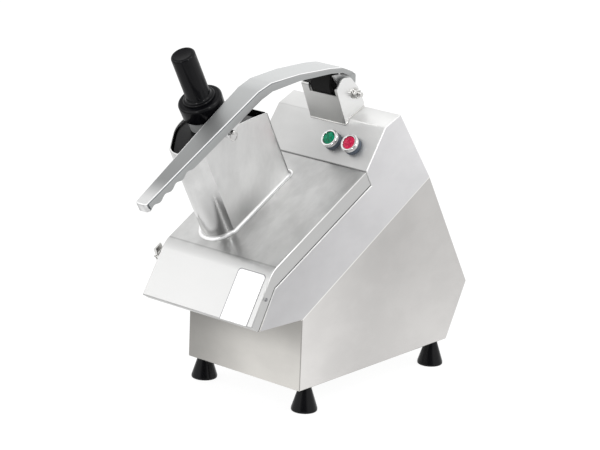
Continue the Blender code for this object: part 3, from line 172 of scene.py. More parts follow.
# Camera of the photograph, with its axes
CAMERA_PLACE = DRAWING + Vector((2.507766, -2.869161, 1.395721))
CAMERA_RIGHT = Vector((0.758873, 0.650173, 0.037236))
CAMERA_UP = Vector((-0.210006, 0.190192, 0.959023))
CAMERA_BACK = Vector((0.616449, -0.735596, 0.280872))
SENSOR_WIDTH = 36.0


def square_to(angle):
    """Direction square to a surface of the side view that rises to the back by an angle."""
    return Vector((0.0, -math.sin(angle), math.cos(angle)))


def up_slope(angle):
    """Direction up such a surface."""
    return Vector((0.0, math.cos(angle), math.sin(angle)))


def tilted(angle, y, z):
    """Frame with u to the right, v up a slope and w square to it, through a point of the side view."""
    return Matrix.Translation(DRAWING + Vector((0.0, y, z))) @ Matrix.Rotation(angle, 4, "X")


HEAD = tilted(LID_ANGLE, SEAM_Y, SEAM_Z)
PANEL = tilted(PANEL_ANGLE, SEAM_Y, SEAM_Z)


class Wire:
    """Socket of a shader that can be used in sums, products and comparisons."""

    def __init__(self, surface, socket):
        self.surface = surface
        self.socket = socket

    def math(self, operation, *others):
        return self.surface.node("ShaderNodeMath", {"operation": operation}, self, *others)

    def __add__(self, other):
        return self.math("ADD", other)

    __radd__ = __add__

    def __mul__(self, other):
        return self.math("MULTIPLY", other)

    __rmul__ = __mul__

    def __sub__(self, other):
        return self.math("SUBTRACT", other)

    def __rsub__(self, other):
        return self.surface.node("ShaderNodeMath", {"operation": "SUBTRACT"}, other, self)

    def step(self, low, high):
        """Smooth ramp from 0 at low to 1 at high."""
        smooth = {"interpolation_type": "SMOOTHSTEP"}
        return self.surface.node("ShaderNodeMapRange", smooth, self, low, high, 0.0, 1.0)


class Shading:
    """Node tree with a short way to add nodes."""

    def __init__(self, tree):
        self.tree = tree

    def fill(self, socket, value):
        """Link a socket to a wire or give it a value; a colour gets its alpha."""
        if isinstance(value, Wire):
            self.tree.links.new(value.socket, socket)
        elif socket.type == "RGBA":
            socket.default_value = (*value, 1.0)
        else:
            socket.default_value = value

    def node(self, kind, settings, *inputs, output=0, **named):
        """Add a node, set its settings and then its inputs by place or by name; underscores stand for blanks."""
        made = self.tree.nodes.new(kind)
        for key, value in settings.items():
            setattr(made, key, value)
        for place, value in enumerate(inputs):
            if value is not None:
                self.fill(made.inputs[place], value)
        for name, value in named.items():
            self.fill(made.inputs[name.replace("_", " ")], value)
        return Wire(self, made.outputs[output])

    def dot(self, vector, axis):
        """Length of a vector along an axis, or cosine of the angle between two directions."""
        axis = Vector(axis).normalized()
        return self.node("ShaderNodeVectorMath", {"operation": "DOT_PRODUCT"}, vector, axis, output=1)

    def ray(self, kind):
        """1 for rays of a kind, such as Camera, and 0 for the others."""
        return self.node("ShaderNodeLightPath", {}, output=f"Is {kind} Ray")


class Surface(Shading):
    """Material with one Principled shader."""

    def __init__(self, name):
        self.material = bpy.data.materials.new(name)
        self.material.use_nodes = True
        super().__init__(self.material.node_tree)
        self.shader = self.tree.nodes["Principled BSDF"]

    def set(self, **values):
        """Set or link sockets of the Principled shader; underscores stand for blanks."""
        for name, value in values.items():
            self.fill(self.shader.inputs[name.replace("_", " ")], value)

    def place(self, scale=(1.0, 1.0, 1.0), turn=(0.0, 0.0, 0.0)):
        """Object coordinates, turned and then stretched."""
        where = self.node("ShaderNodeTexCoord", {}, output=3)
        turned = self.node("ShaderNodeMapping", {"vector_type": "POINT"}, where, None, turn)
        return self.node("ShaderNodeMapping", {"vector_type": "POINT"}, turned, None, None, scale)

    def normal(self):
        return self.node("ShaderNodeTexCoord", {}, output=1)

    def sideways(self):
        """How squarely a face looks to the left or the right."""
        return self.dot(self.normal(), RIGHT).math("ABSOLUTE")

    def above(self, where, point, axis):
        """Distance beyond a plane through a point and square to an axis of length 1."""
        return self.dot(where, axis) - point.dot(axis)

    def noise(self, where, scale, detail=3.0, roughness=0.5):
        return self.node("ShaderNodeTexNoise", {}, where, None, scale, detail, roughness)

    def blend(self, share, first, second):
        """Colour between two colours."""
        other_kinds = (None,) * 5
        return self.node("ShaderNodeMix", {"data_type": "RGBA"}, share, *other_kinds, first, second, output=2)

    def scaled(self, colour, factor):
        """Colour times a factor."""
        return self.node("ShaderNodeVectorMath", {"operation": "SCALE"}, colour, None, None, factor)

    def bump(self, height, distance, strength=1.0):
        return self.node("ShaderNodeBump", {}, strength, distance, Height=height)


def tone(colour, factor):
    return tuple(min(1.0, part * factor) for part in colour)


def brushed(name, colour):
    """Brushed stainless sheet: fine lines across the machine, soft clouds and faint wipe marks."""
    surface = Surface(name)
    lines = surface.noise(surface.place((1.0, 60.0, 60.0)), 28.0, 4.0, 0.6)
    fine = surface.noise(surface.place((4.0, 240.0, 240.0)), 40.0, 2.0, 0.5)
    clouds = surface.noise(surface.place(), 7.0, 3.0, 0.55)
    wipe = surface.noise(surface.place((1.0, 1.0, 3.0)), 16.0, 2.0, 0.6)
    surface.set(Base_Color=surface.blend(clouds.step(0.30, 0.72), tone(colour, 0.90), tone(colour, 1.04)))
    surface.set(Metallic=1.0, Roughness=0.21 + 0.08 * wipe + 0.10 * lines)
    surface.set(Normal=surface.bump(0.7 * lines + 0.3 * fine, 0.00006, 0.5))
    return surface.material


def folded(name, upper, lower, front, base):
    """Brushed housing sheet with a painted highlight along the fold between the flanks' upper and lower parts.

    The flanks' upper and lower parts are painted as lit and shaded tones of one sheet, and painted light
    changes their tone from front to back. The ends and slopes have a tone of their own, with painted light on
    the base's low band, on the panel by the buttons and on the top, and painted shade that darkens the base
    to the left and under the apron, the rear end and the base's bends.
    """
    surface = Surface(name)
    where = surface.place()
    facing = surface.sideways()
    forward = surface.dot(surface.normal(), FRONT)
    across = surface.dot(where, RIGHT)
    back = surface.dot(where, BACK)
    high = surface.dot(where, UP)

    beyond = surface.above(where, DRAWING + FOLD_FOOT, square_to(FOLD_ANGLE))
    # Painted light: the upper and lower flanks are lit and shaded tones of one sheet; the upper one is painted paler
    # towards the back and the lower one darker
    above = surface.scaled(upper, 0.86 + 0.36 * back.step(-0.20, 0.26))
    below = surface.scaled(lower, 1.14 - 0.26 * back.step(-0.18, 0.10) + 0.08 * back.step(0.10, 0.30))
    flanks = surface.blend(beyond.step(-0.0003, 0.0003), below, above)
    # Painted highlight along the fold between the flanks' upper and lower parts
    fold_highlight = 1.0 - beyond.math("ABSOLUTE").step(0.0004, 0.0013)
    flanks = surface.blend(fold_highlight, flanks, (0.98, 0.97, 0.95))

    low = 1.0 - high.step(0.15, 0.20)
    # Painted shadow on the base under the apron
    apron_shadow = forward.step(0.90, 0.99) * high.step(0.080, 0.150)
    # Painted light on the panel's right part, by the buttons
    panel_right_light = across.step(0.02, 0.10) * high.step(0.30, 0.36) * (1.0 - high.step(0.42, 0.44))
    # Painted light on the top and painted shade on the rear end
    top = high.step(0.41, 0.43)
    rear = (-1.0 * forward).step(0.3, 0.8)
    # Painted shade darkens the base towards the left, and painted light brightens its low band
    front = surface.blend(low, front, surface.scaled(base, 0.50 + 0.44 * across.step(-0.115, 0.030)))
    shade = 1.04 + 0.20 * low - 0.42 * apron_shadow + 0.34 * panel_right_light + 0.14 * top - 0.22 * rear
    ends = surface.scaled(front, shade)

    flank = facing.step(0.80, 0.95)
    # Painted shade darkens the rounded bends low on the housing
    bend = facing.step(0.25, 0.5) * (1.0 - facing.step(0.75, 0.93)) * (1.0 - high.step(0.14, 0.17))
    colour = surface.scaled(surface.blend(flank, ends, flanks), 1.0 - 0.35 * bend)

    lines = surface.noise(surface.place((60.0, 1.0, 60.0), (FOLD_ANGLE, 0.0, 0.0)), 28.0, 4.0, 0.6)
    clouds = surface.noise(where, 5.0, 2.0, 0.5)
    wipe = surface.noise(surface.place((1.0, 1.0, 3.0)), 16.0, 2.0, 0.6)
    mottle = surface.noise(surface.place((1.0, 1.0, 1.6)), 14.0, 4.0, 0.6)
    patches = 0.945 + 0.06 * clouds.step(0.3, 0.7) + 0.05 * mottle.step(0.35, 0.65)
    surface.set(Base_Color=surface.scaled(colour, patches), Metallic=1.0)
    surface.set(Roughness=0.25 + 0.06 * wipe + 0.06 * lines + 0.14 * (1.0 - flank))
    surface.set(Normal=surface.bump(lines, 0.00004, 0.5))
    return surface.material


def drawn(name, top, apron, bend, side):
    """Brushed lid sheet with a cloudy top, an apron made pale by painted light, a painted highlight on the
    rounded bends down to the skirts, and plain skirts.

    Painted shade darkens lines along the fold above the apron, the seam's gap below the skirts and the
    apron's hem.
    """
    surface = Surface(name)
    where = surface.place()
    facing = surface.sideways()
    turning = surface.dot(surface.normal(), square_to(APRON_ANGLE))
    clouds = surface.noise(surface.place((1.0, 0.7, 0.7)), 9.0, 3.0, 0.55)
    fine = surface.noise(surface.place((1.0, 0.5, 0.5)), 42.0, 4.0, 0.6)
    top = surface.scaled(top, 0.80 + 0.24 * clouds.step(0.32, 0.68) + 0.12 * fine.step(0.35, 0.65))
    # Painted light: the apron gets a paler tone than the top of the same sheet
    colour = surface.blend(turning.step(0.88, 0.97), top, apron)
    # Painted shade along the fold above the apron
    fold = turning.step(0.866, 0.874) * (1.0 - turning.step(0.885, 0.91))
    colour = surface.scaled(colour, 1.0 - 0.22 * fold)
    # Painted highlight on the rounded bends between the top and the skirts
    colour = surface.blend(facing.step(0.30, 0.50), colour, bend)
    colour = surface.blend(facing.step(0.70, 0.90), colour, side)

    # Painted shade in a band along the foot of the skirts and side flaps, at the seam's gap
    seam = surface.above(where, HEAD @ Vector((0.0, 0.0, -LID_SKIRT)), square_to(LID_ANGLE))
    seam = seam.math("MAXIMUM", surface.above(where, FLAP_FOOT, square_to(APRON_ANGLE)))
    gap = facing.step(0.15, 0.30) * (1.0 - seam.step(0.0023, 0.0034))
    colour = surface.scaled(colour, 1.0 - 0.90 * gap)

    # Painted shade along the apron's hem and its left edge
    end = surface.above(where, APRON_END, up_slope(APRON_ANGLE))
    left = surface.dot(where, RIGHT) + LID_HALF_WIDTH
    hem = turning.step(0.90, 0.97) * (1.0 - end.math("MINIMUM", left).step(0.0008, 0.0020))
    colour = surface.scaled(colour, 1.0 - 0.55 * hem)

    lines = surface.noise(surface.place((1.0, 60.0, 60.0)), 28.0, 4.0, 0.6)
    surface.set(Base_Color=colour, Metallic=1.0, Roughness=0.32 + 0.08 * lines + 0.06 * clouds)
    surface.set(Normal=surface.bump(lines, 0.00005, 0.5))
    return surface.material


def hewn(name, flat, edge, groove, side, roughness=0.32, tip=1.0):
    """Ground metal with a painted highlight along its rounded edges that runs into a painted dark line beside
    the flat sides, and upright sides in a painted tone of their own for the light on them.

    A tip below 1 is for the lever: painted shade darkens its top to that share of its tone towards the tip,
    a painted highlight makes the very end bright again, and its lug stands in a painted shadow under it.
    """
    surface = Surface(name)
    where = surface.place()
    facing = surface.sideways()
    patch = surface.noise(where, 26.0, 3.0, 0.5)
    back = surface.dot(where, BACK)
    # Painted shade: below a tip of 1 the top darkens towards the lever's tip
    flat = surface.scaled(flat, tip + (1.0 - tip) * back.step(-0.30, -0.02) + 0.08 * (patch - 0.5))
    # Painted highlight on the rounded edges between the flat top and the sides
    turning = facing.step(0.06, 0.22)
    upright = facing.step(0.93, 0.985)
    colour = surface.blend(turning, flat, edge)
    # Painted dark line between the edge highlight and the sides, with 0.45 of the highlight's tone towards the rear
    groove = surface.blend(back.step(-0.12, 0.02), groove, tone(edge, 0.45))
    colour = surface.blend(facing.step(0.58, 0.74), colour, groove)
    # Painted light: upright sides get a tone of their own for the light on them, darker on the lever and paler on the
    # bracket
    colour = surface.blend(upright, colour, side)
    if tip < 1.0:
        # Painted highlight on the end face of the grip and near its tip
        reach = back - (DRAWING.y + LEVER_TIP[0])
        face = surface.dot(surface.normal(), FRONT).step(0.60, 0.80)
        bright = (0.85 * face + 0.7 * (1.0 - reach.step(0.008, 0.050))).math("MINIMUM", 1.0)
        colour = surface.blend(bright * (1.0 - turning), colour, tone(edge, 0.96))
        lug = upright * (1.0 - surface.dot(where, RIGHT).math("ABSOLUTE").step(*LUG_HALF_WIDTH))
        depth = -1.0 * surface.above(where, DRAWING + Vector((0.0, *LEVER_TIP)), square_to(LEVER_SLOPE))
        shade = surface.blend(depth.step(*LUG_SHADE), (0.10, 0.10, 0.10), (0.80, 0.80, 0.80))
        colour = surface.blend(lug, colour, shade)
    surface.set(Base_Color=colour, Metallic=1.0, Roughness=roughness + 0.12 * (patch - 0.5))
    surface.set(Normal=surface.bump(patch, 0.0001, 0.4))
    return surface.material


def satin(name, colour):
    """Polished hopper with soft handling marks. Painted shade darkens its flat face, more so low towards the front,
    and its nose low down; painted light brightens the face low towards the rear, and a painted highlight runs along its
    foot.
    """
    surface = Surface(name)
    where = surface.place()
    facing = surface.dot(surface.normal(), RIGHT)
    rise = surface.above(where, HEAD.translation, square_to(LID_ANGLE))
    run = surface.above(where, HEAD.translation, up_slope(LID_ANGLE))
    smudge = surface.noise(surface.place((1.0, 1.0, 0.6)), 14.0, 4.0, 0.6)
    # Painted light and shade: the flat face is painted darker than the nose, low on the face darker to the front and
    # paler to the rear, the nose darker low down, and a painted highlight runs along the foot
    flat = facing.step(0.90, 0.99)
    low = (1.0 - rise.step(0.005, 0.055)) * flat
    low_front_shade = low * (1.0 - run.step(-0.16, -0.09))
    low_rear_light = low * run.step(-0.12, -0.05)
    nose = (1.0 - flat) * facing.step(0.10, 0.65) * (1.0 - rise.step(0.03, 0.12))
    foot_highlight = 1.0 - rise.step(0.0035, 0.0055)
    shade = 1.0 - 0.17 * flat - 0.40 * low_front_shade + 0.22 * low_rear_light - 0.36 * nose + 0.35 * foot_highlight
    foot = 1.0 - rise.step(0.0045, 0.0060)
    marks = 0.90 + 0.16 * smudge.step(0.35, 0.65)
    surface.set(Base_Color=surface.scaled(surface.scaled(colour, shade), marks))
    surface.set(Metallic=1.0, Roughness=0.16 + 0.18 * flat + 0.22 * foot + 0.04 * smudge)
    return surface.material


def mottled(name, colour, deep, pale):
    """Translucent button cap with darker patches and paler specks."""
    surface = Surface(name)
    patch = surface.noise(surface.place(), 190.0, 3.0, 0.55)
    speck = surface.noise(surface.place(), 420.0, 2.0, 0.5)
    cap = surface.blend(patch.step(0.42, 0.62), deep, colour)
    surface.set(Base_Color=surface.blend(0.45 * speck.step(0.56, 0.72), cap, pale))
    surface.set(Roughness=0.22 + 0.10 * speck, Specular_IOR_Level=0.25)
    return surface.material


def polished(name, colour, roughness, waves):
    """Polished metal with a slightly wavy face that bends reflections."""
    surface = Surface(name)
    wave = surface.noise(surface.place((1.0, 1.0, 0.6)), 9.0, 1.5, 0.4)
    grain = surface.noise(surface.place(), 220.0, 3.0, 0.6)
    smudge = surface.noise(surface.place((1.0, 1.0, 0.5)), 22.0, 4.0, 0.6)
    surface.set(Base_Color=surface.blend(smudge.step(0.35, 0.75), tone(colour, 0.95), tone(colour, 1.03)))
    surface.set(Metallic=1.0, Roughness=roughness + 0.10 * smudge.step(0.4, 0.8) + 0.03 * grain)
    surface.set(Normal=surface.bump(wave, waves, 0.35))
    return surface.material


def cast(name, colour, roughness):
    """Ground aluminium casting: fine even grain with soft darker patches."""
    surface = Surface(name)
    grain = surface.noise(surface.place(), 420.0, 3.0, 0.65)
    patch = surface.noise(surface.place(), 26.0, 3.0, 0.5)
    surface.set(Base_Color=surface.blend(patch.step(0.35, 0.7), tone(colour, 0.93), tone(colour, 1.04)))
    surface.set(Metallic=1.0, Roughness=roughness + 0.10 * (patch - 0.5) + 0.10 * (grain - 0.5))
    surface.set(Normal=surface.bump(grain + 0.6 * patch, 0.00012, 0.6))
    return surface.material


def moulded(name, colour, roughness=0.30):
    """Moulded plastic with handling marks: a glossy skin, duller on faces that lie as the lid does."""
    surface = Surface(name)
    mark = surface.noise(surface.place((1.0, 1.0, 0.5)), 34.0, 4.0, 0.6)
    ripple = surface.noise(surface.place(), 30.0, 1.0, 0.4)
    worn = tuple(part + 0.02 for part in colour)
    level = surface.dot(surface.normal(), square_to(LID_ANGLE)).step(0.90, 0.99)
    surface.set(Base_Color=surface.blend(0.25 * mark.step(0.5, 0.8), colour, worn))
    surface.set(Roughness=roughness + 0.10 * mark.step(0.4, 0.8), Specular_IOR_Level=0.05)
    surface.set(Coat_Weight=0.32 * (1.0 - 0.85 * level), Coat_Roughness=0.10)
    surface.set(Normal=surface.bump(ripple, 0.0003, 0.2))
    return surface.material


def rubbery(name, colour):
    """Matte rubber with a fine grain and a little dust on it."""
    surface = Surface(name)
    grain = surface.noise(surface.place(), 500.0, 3.0, 0.6)
    dust = surface.noise(surface.place(), 40.0, 4.0, 0.6)
    surface.set(Base_Color=surface.blend(0.3 * dust.step(0.5, 0.8), colour, tone(colour, 2.2)))
    surface.set(Roughness=0.42 + 0.16 * grain, Specular_IOR_Level=0.16)
    surface.set(Normal=surface.bump(grain, 0.00008, 0.5))
    return surface.material


def painted(name, colour, roughness=0.4):
    """Painted metal with a light orange peel."""
    surface = Surface(name)
    peel = surface.noise(surface.place(), 300.0, 2.0, 0.5)
    patch = surface.noise(surface.place(), 18.0, 3.0, 0.5)
    surface.set(Base_Color=surface.blend(patch, tone(colour, 0.85), tone(colour, 1.2)))
    surface.set(Roughness=roughness + 0.08 * patch)
    surface.set(Normal=surface.bump(peel, 0.00008, 0.4))
    return surface.material


def settings():
    return bpy.context.scene.cutter


def known(name, maker, *args):
    """Material that is made once and then shared."""
    return bpy.data.materials.get(name) or maker(name, *args)


def sheet_steel():
    return known("brushed steel", brushed, tuple(settings().finish.steel))


def housing_steel():
    # Upper and lower flanks are painted as lit and shaded tones of one sheet, then the ends and the base
    return known("folded housing", folded, (0.675, 0.67, 0.68), (0.71, 0.695, 0.68), (0.60, 0.60, 0.595),
                 (0.615, 0.600, 0.572))


def lid_steel():
    # Top, apron made pale by painted light, painted highlight on the bends, and the skirts
    return known("brushed lid", drawn, tuple(settings().finish.lid), (0.70, 0.70, 0.695), (0.86, 0.86, 0.85),
                 (0.60, 0.60, 0.595))


def bright_steel():
    return known("bright steel", polished, tuple(settings().finish.steel), 0.22, 0.001)


def hopper_metal():
    return known("polished hopper", satin, tuple(settings().finish.hopper))


def lever_metal():
    flat = tuple(settings().finish.lever)
    # Flat top, painted edge highlight, painted dark line, sides in painted light; the top keeps 0.54 of its tone at the
    # tip as painted shade
    return known("ground casting", hewn, flat, (0.99, 0.99, 0.99), (0.16, 0.17, 0.18), (0.45, 0.46, 0.46), 0.44, 0.54)


def bracket_metal():
    # Flat front and top, painted edge highlight, painted dark line, and ears in painted light
    return known("bracket steel", hewn, (0.60, 0.60, 0.59), (0.98, 0.98, 0.97), (0.55, 0.55, 0.55), (0.86, 0.86, 0.855))


def tube_metal():
    return known("tube", painted, (0.36, 0.365, 0.365), 0.35)


def machine_metal():
    return known("machined casting", cast, (0.52, 0.52, 0.52), 0.38)


def dark_metal():
    return known("dark steel", cast, (0.30, 0.30, 0.31), 0.34)


def black_gloss():
    return known("black plastic", moulded, tuple(settings().finish.plastic))


def black_rubber():
    return known("black rubber", rubbery, (0.007, 0.007, 0.007))


def read_node(node):
    """Copy of a solid's mesh as a bmesh, with its loose triangles merged into flat faces."""
    bm = bmesh.new()
    bm.from_mesh(FRAME["nodes"][node].data)
    bmesh.ops.remove_doubles(bm, verts=bm.verts, dist=0.00002)
    bmesh.ops.dissolve_limit(bm, angle_limit=math.radians(0.6), verts=bm.verts, edges=bm.edges)
    return bm


def soften(bm, width, segments=2, limit=32.0, keep=None, clamp=True):
    """Bevel edges that turn by more than the limit, in degrees, or those of them that keep picks."""
    edges = [edge for edge in bm.edges if len(edge.link_faces) == 2
             and edge.calc_face_angle() > math.radians(limit) and (keep is None or keep(edge))]
    bmesh.ops.bevel(bm, geom=edges, offset=width, segments=segments, affect="EDGES", profile=0.5,
                    material=-1, clamp_overlap=clamp)
    return bm


def finish(name, bm, surface, body, slot, *nodes, angle=38.0, weighted=True):
    """Make the object of a piece, which rides on its body and stands for the nodes named."""
    mesh = bpy.data.meshes.new(name)
    bm.to_mesh(mesh)
    bm.free()
    mesh.materials.append(surface)
    mesh.shade_smooth()
    mesh.set_sharp_from_angle(angle=math.radians(angle))
    thing = bpy.data.objects.new(name, mesh)
    bpy.context.scene.collection.objects.link(thing)
    if weighted:
        even = thing.modifiers.new("even shading", "WEIGHTED_NORMAL")
        even.keep_sharp = True
        even.weight = 90
    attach(thing, body)
    if nodes:
        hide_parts(*nodes)


def remade(node, bm, surface, angle=38.0, weighted=True):
    """Make a new shape the piece that stands for a solid."""
    finish(f"{node}_finished", bm, surface, BODIES[node], SLOTS[node], node, angle=angle, weighted=weighted)


def dress(node, surface, width=0.0, segments=2, limit=32.0, angle=38.0):
    """Softened copy of a solid in its finish, in place of the solid."""
    bm = read_node(node)
    if width:
        soften(bm, width, segments, limit)
    remade(node, bm, surface, angle)


def cover(surface, *nodes):
    """Give solids that stay as they are their finish."""
    for node in nodes:
        mesh = FRAME["nodes"][node].data
        mesh.materials.clear()
        mesh.materials.append(surface)


def ordered(bm):
    """Put a mesh's parts in a fixed order, because spin and extrude give them in another one each run."""
    bm.verts.sort(key=lambda vert: vert.co.dot(ORDER))
    bm.edges.sort(key=lambda edge: (edge.verts[0].co + edge.verts[1].co).dot(ORDER))
    bm.faces.sort(key=lambda face: face.calc_center_median().dot(ORDER))
    return bm


def turned(profile, frame, segments):
    """Revolve (radius, height) points about a frame's w axis; an outline off the axis closes on itself."""
    bm = bmesh.new()
    points = [bm.verts.new((radius, 0.0, height)) for radius, height in profile]
    edges = [bm.edges.new(pair) for pair in zip(points, points[1:])]
    if profile[0][0] > 0.0:
        edges.append(bm.edges.new((points[-1], points[0])))
    bmesh.ops.spin(bm, geom=points + edges, cent=(0.0, 0.0, 0.0), axis=(0.0, 0.0, 1.0), angle=math.tau,
                   steps=segments, use_merge=True)
    bmesh.ops.remove_doubles(bm, verts=bm.verts, dist=1e-6)
    bmesh.ops.recalc_face_normals(bm, faces=bm.faces)
    bmesh.ops.transform(bm, matrix=frame, verts=bm.verts)
    return ordered(bm)


def prism(outline, low, high, frame):
    """Extrude a flat outline of (u, v) points from w = low to w = high in a frame."""
    bm = bmesh.new()
    face = bm.faces.new([bm.verts.new((u, v, low)) for u, v in outline])
    grown = bmesh.ops.extrude_face_region(bm, geom=[face])
    moved = [item for item in grown["geom"] if isinstance(item, bmesh.types.BMVert)]
    bmesh.ops.translate(bm, verts=moved, vec=(0.0, 0.0, high - low))
    bmesh.ops.recalc_face_normals(bm, faces=bm.faces)
    bmesh.ops.transform(bm, matrix=frame, verts=bm.verts)
    return ordered(bm)


def arc(centre, radius, start, end, steps):
    """Points on a circle from one angle to another, both included."""
    angles = [start + (end - start) * step / steps for step in range(steps + 1)]
    return [Vector(centre) + Vector((math.cos(angle), math.sin(angle))) * radius for angle in angles]


class FinishSettings(bpy.types.PropertyGroup):
    """Colours of the machine's finishes"""
    steel: FloatVectorProperty(name="Steel", description="Colour of plates, blades and bolts", subtype="COLOR",
                               default=(0.72, 0.715, 0.70), min=0.0, max=1.0)
    lid: FloatVectorProperty(name="Lid", description="Colour of the top of the lid", subtype="COLOR",
                             default=(0.62, 0.62, 0.615), min=0.0, max=1.0)
    hopper: FloatVectorProperty(name="Hopper", description="Colour of the polished hopper", subtype="COLOR",
                                default=(0.80, 0.80, 0.795), min=0.0, max=1.0)
    lever: FloatVectorProperty(name="Lever", description="Colour of the lever's casting", subtype="COLOR",
                               default=(0.56, 0.57, 0.57), min=0.0, max=1.0)
    plastic: FloatVectorProperty(name="Plastic", description="Colour of black mouldings", subtype="COLOR",
                                 default=(0.003, 0.003, 0.004), min=0.0, max=1.0)
    start: FloatVectorProperty(name="Start", description="Colour of the start button", subtype="COLOR",
                               default=(0.0, 0.30, 0.15), min=0.0, max=1.0)
    stop: FloatVectorProperty(name="Stop", description="Colour of the stop button", subtype="COLOR",
                              default=(0.72, 0.02, 0.09), min=0.0, max=1.0)


class HopperSettings(bpy.types.PropertyGroup):
    """Sizes of the half-moon hopper"""
    radius: FloatProperty(name="Radius", description="Radius of the wide arc", default=0.108, subtype="DISTANCE")
    face: FloatProperty(name="Face", description="Place of the flat right face", default=-0.010, subtype="DISTANCE")
    rear: FloatProperty(name="Rear", description="Place of the flat rear wall", default=-0.040, subtype="DISTANCE")
    nose: FloatProperty(name="Nose", description="Radius of the round nose", default=0.029, subtype="DISTANCE")
    wall: FloatProperty(name="Wall", description="Wall thickness", default=0.003, subtype="DISTANCE")
    corner: FloatProperty(name="Corner", description="Radius of the right rear corner", default=0.008,
                          subtype="DISTANCE")
    fillet: FloatProperty(name="Fillet", description="Fillet to the lid", default=0.0055, subtype="DISTANCE")
    rim: FloatProperty(name="Rim", description="Rounding of the rim", default=0.0013, subtype="DISTANCE")


class LensSettings(bpy.types.PropertyGroup):
    """Camera that matches the photograph"""
    length: FloatProperty(name="Length", description="Focal length", default=156.828, subtype="DISTANCE_CAMERA")


class CutterSettings(bpy.types.PropertyGroup):
    """Everything a user would change"""
    finish: PointerProperty(type=FinishSettings)
    hopper: PointerProperty(type=HopperSettings)
    lens: PointerProperty(type=LensSettings)


class CUTTER_OT_housing(bpy.types.Operator):
    """Build the folded housing with its bottom plate and cable gland"""
    bl_idname = "cutter.housing"
    bl_label = "Housing"

    def execute(self, context):
        dress("housing", housing_steel(), 0.0009, 2, 12.0, angle=30.0)
        dress("bottom_plate", sheet_steel(), 0.0003, 1)
        dress("cable_gland", black_gloss(), 0.0005, 2)
        return {"FINISHED"}


class CUTTER_OT_lid(bpy.types.Operator):
    """Build the lid with the blank plate on its apron and the screw on its skirt"""
    bl_idname = "cutter.lid"
    bl_label = "Lid"

    def execute(self, context):
        dress("lid", lid_steel(), 0.0007, 2, 40.0, angle=30.0)
        self.plate()
        place = Matrix.Translation(DRAWING + SKIRT_SCREW) @ Matrix.Rotation(QUARTER, 4, "Y")
        finish("skirt_screw", turned(SCREW_HEAD, place, 24), dark_metal(), "frame", "brushed_steel")
        return {"FINISHED"}

    @staticmethod
    def plate():
        """Blank plate that ends at the apron's hem, and a dark strip round its other three sides as its painted shadow.
        """
        corner = HEAD @ Vector((0.0, -LID_LENGTH, 0.0))
        apron = Matrix.Translation(Vector((DRAWING.x, corner.y, corner.z))) @ Matrix.Rotation(APRON_ANGLE, 4, "X")
        left, right = PLATE_MIDDLE - PLATE_HALF_WIDTH, PLATE_MIDDLE + PLATE_HALF_WIDTH
        centre = PLATE_TOP - PLATE_ROUND
        outline = [(left, PLATE_END), (right, PLATE_END)]
        outline += arc((right - PLATE_ROUND, centre), PLATE_ROUND, 0.0, QUARTER, 6)
        outline += arc((left + PLATE_ROUND, centre), PLATE_ROUND, QUARTER, math.pi, 6)
        plate = soften(prism(outline, PLATE_LOW, PLATE_HIGH, apron), 0.0002, 1, 50.0)
        white = known("plate", polished, (0.96, 0.96, 0.96), 0.3, 0.0002)
        finish("apron_plate", plate, white, "frame", "brushed_steel")
        halfway = 0.5 * (PLATE_TOP + PLATE_END)
        border = [(u + (BORDER_RIGHT if u > PLATE_MIDDLE else -BORDER_LEFT), v + (BORDER_LEFT if v > halfway else 0.0))
                  for u, v in outline]
        # Dark strip round the plate, a painted shadow, wider at the left and the top
        line = prism(border, BORDER_LOW, BORDER_HIGH, apron)
        finish("apron_plate_shadow", line, dark_metal(), "frame", "brushed_steel")


def half_moon(inset):
    """Hopper outline on the lid, moved inwards: round rear corners, wide arc, nose and flat face."""
    hopper = settings().hopper
    centre = Vector((0.0, HOPPER_S))
    nose = Vector(NOSE_PLACE)
    line = nose - centre
    tangent = math.atan2(line.y, line.x) - math.acos((hopper.radius - hopper.nose) / line.length) + math.tau
    right = Vector((hopper.face - hopper.corner, hopper.rear - hopper.corner))
    rear = hopper.rear - LEFT_CORNER
    left = Vector((-math.sqrt((hopper.radius - LEFT_CORNER) ** 2 - (rear - HOPPER_S) ** 2), rear))
    turn = math.atan2(left.y - centre.y, left.x)
    points = arc(right, hopper.corner - inset, 0.0, QUARTER, 8)
    points += arc(left, LEFT_CORNER - inset, QUARTER, turn, 6)
    points += arc(centre, hopper.radius - inset, turn, tangent, 36)[1:]
    points += arc(nose, hopper.nose - inset, tangent, math.tau - NOSE_END, 24)[1:]
    low = Vector((hopper.face - inset, nose.y - NOSE_STEP))
    high = Vector((hopper.face - inset, right.y))
    points += [low.lerp(high, step / 12) for step in range(12)]
    return points


def rim_height(s):
    """Height of the hopper's rim above the lid, which rises towards the front in a flat crown."""
    run = settings().hopper.rear - s
    return RIM_REAR + RIM_RISE * run - RIM_CROWN * run * run


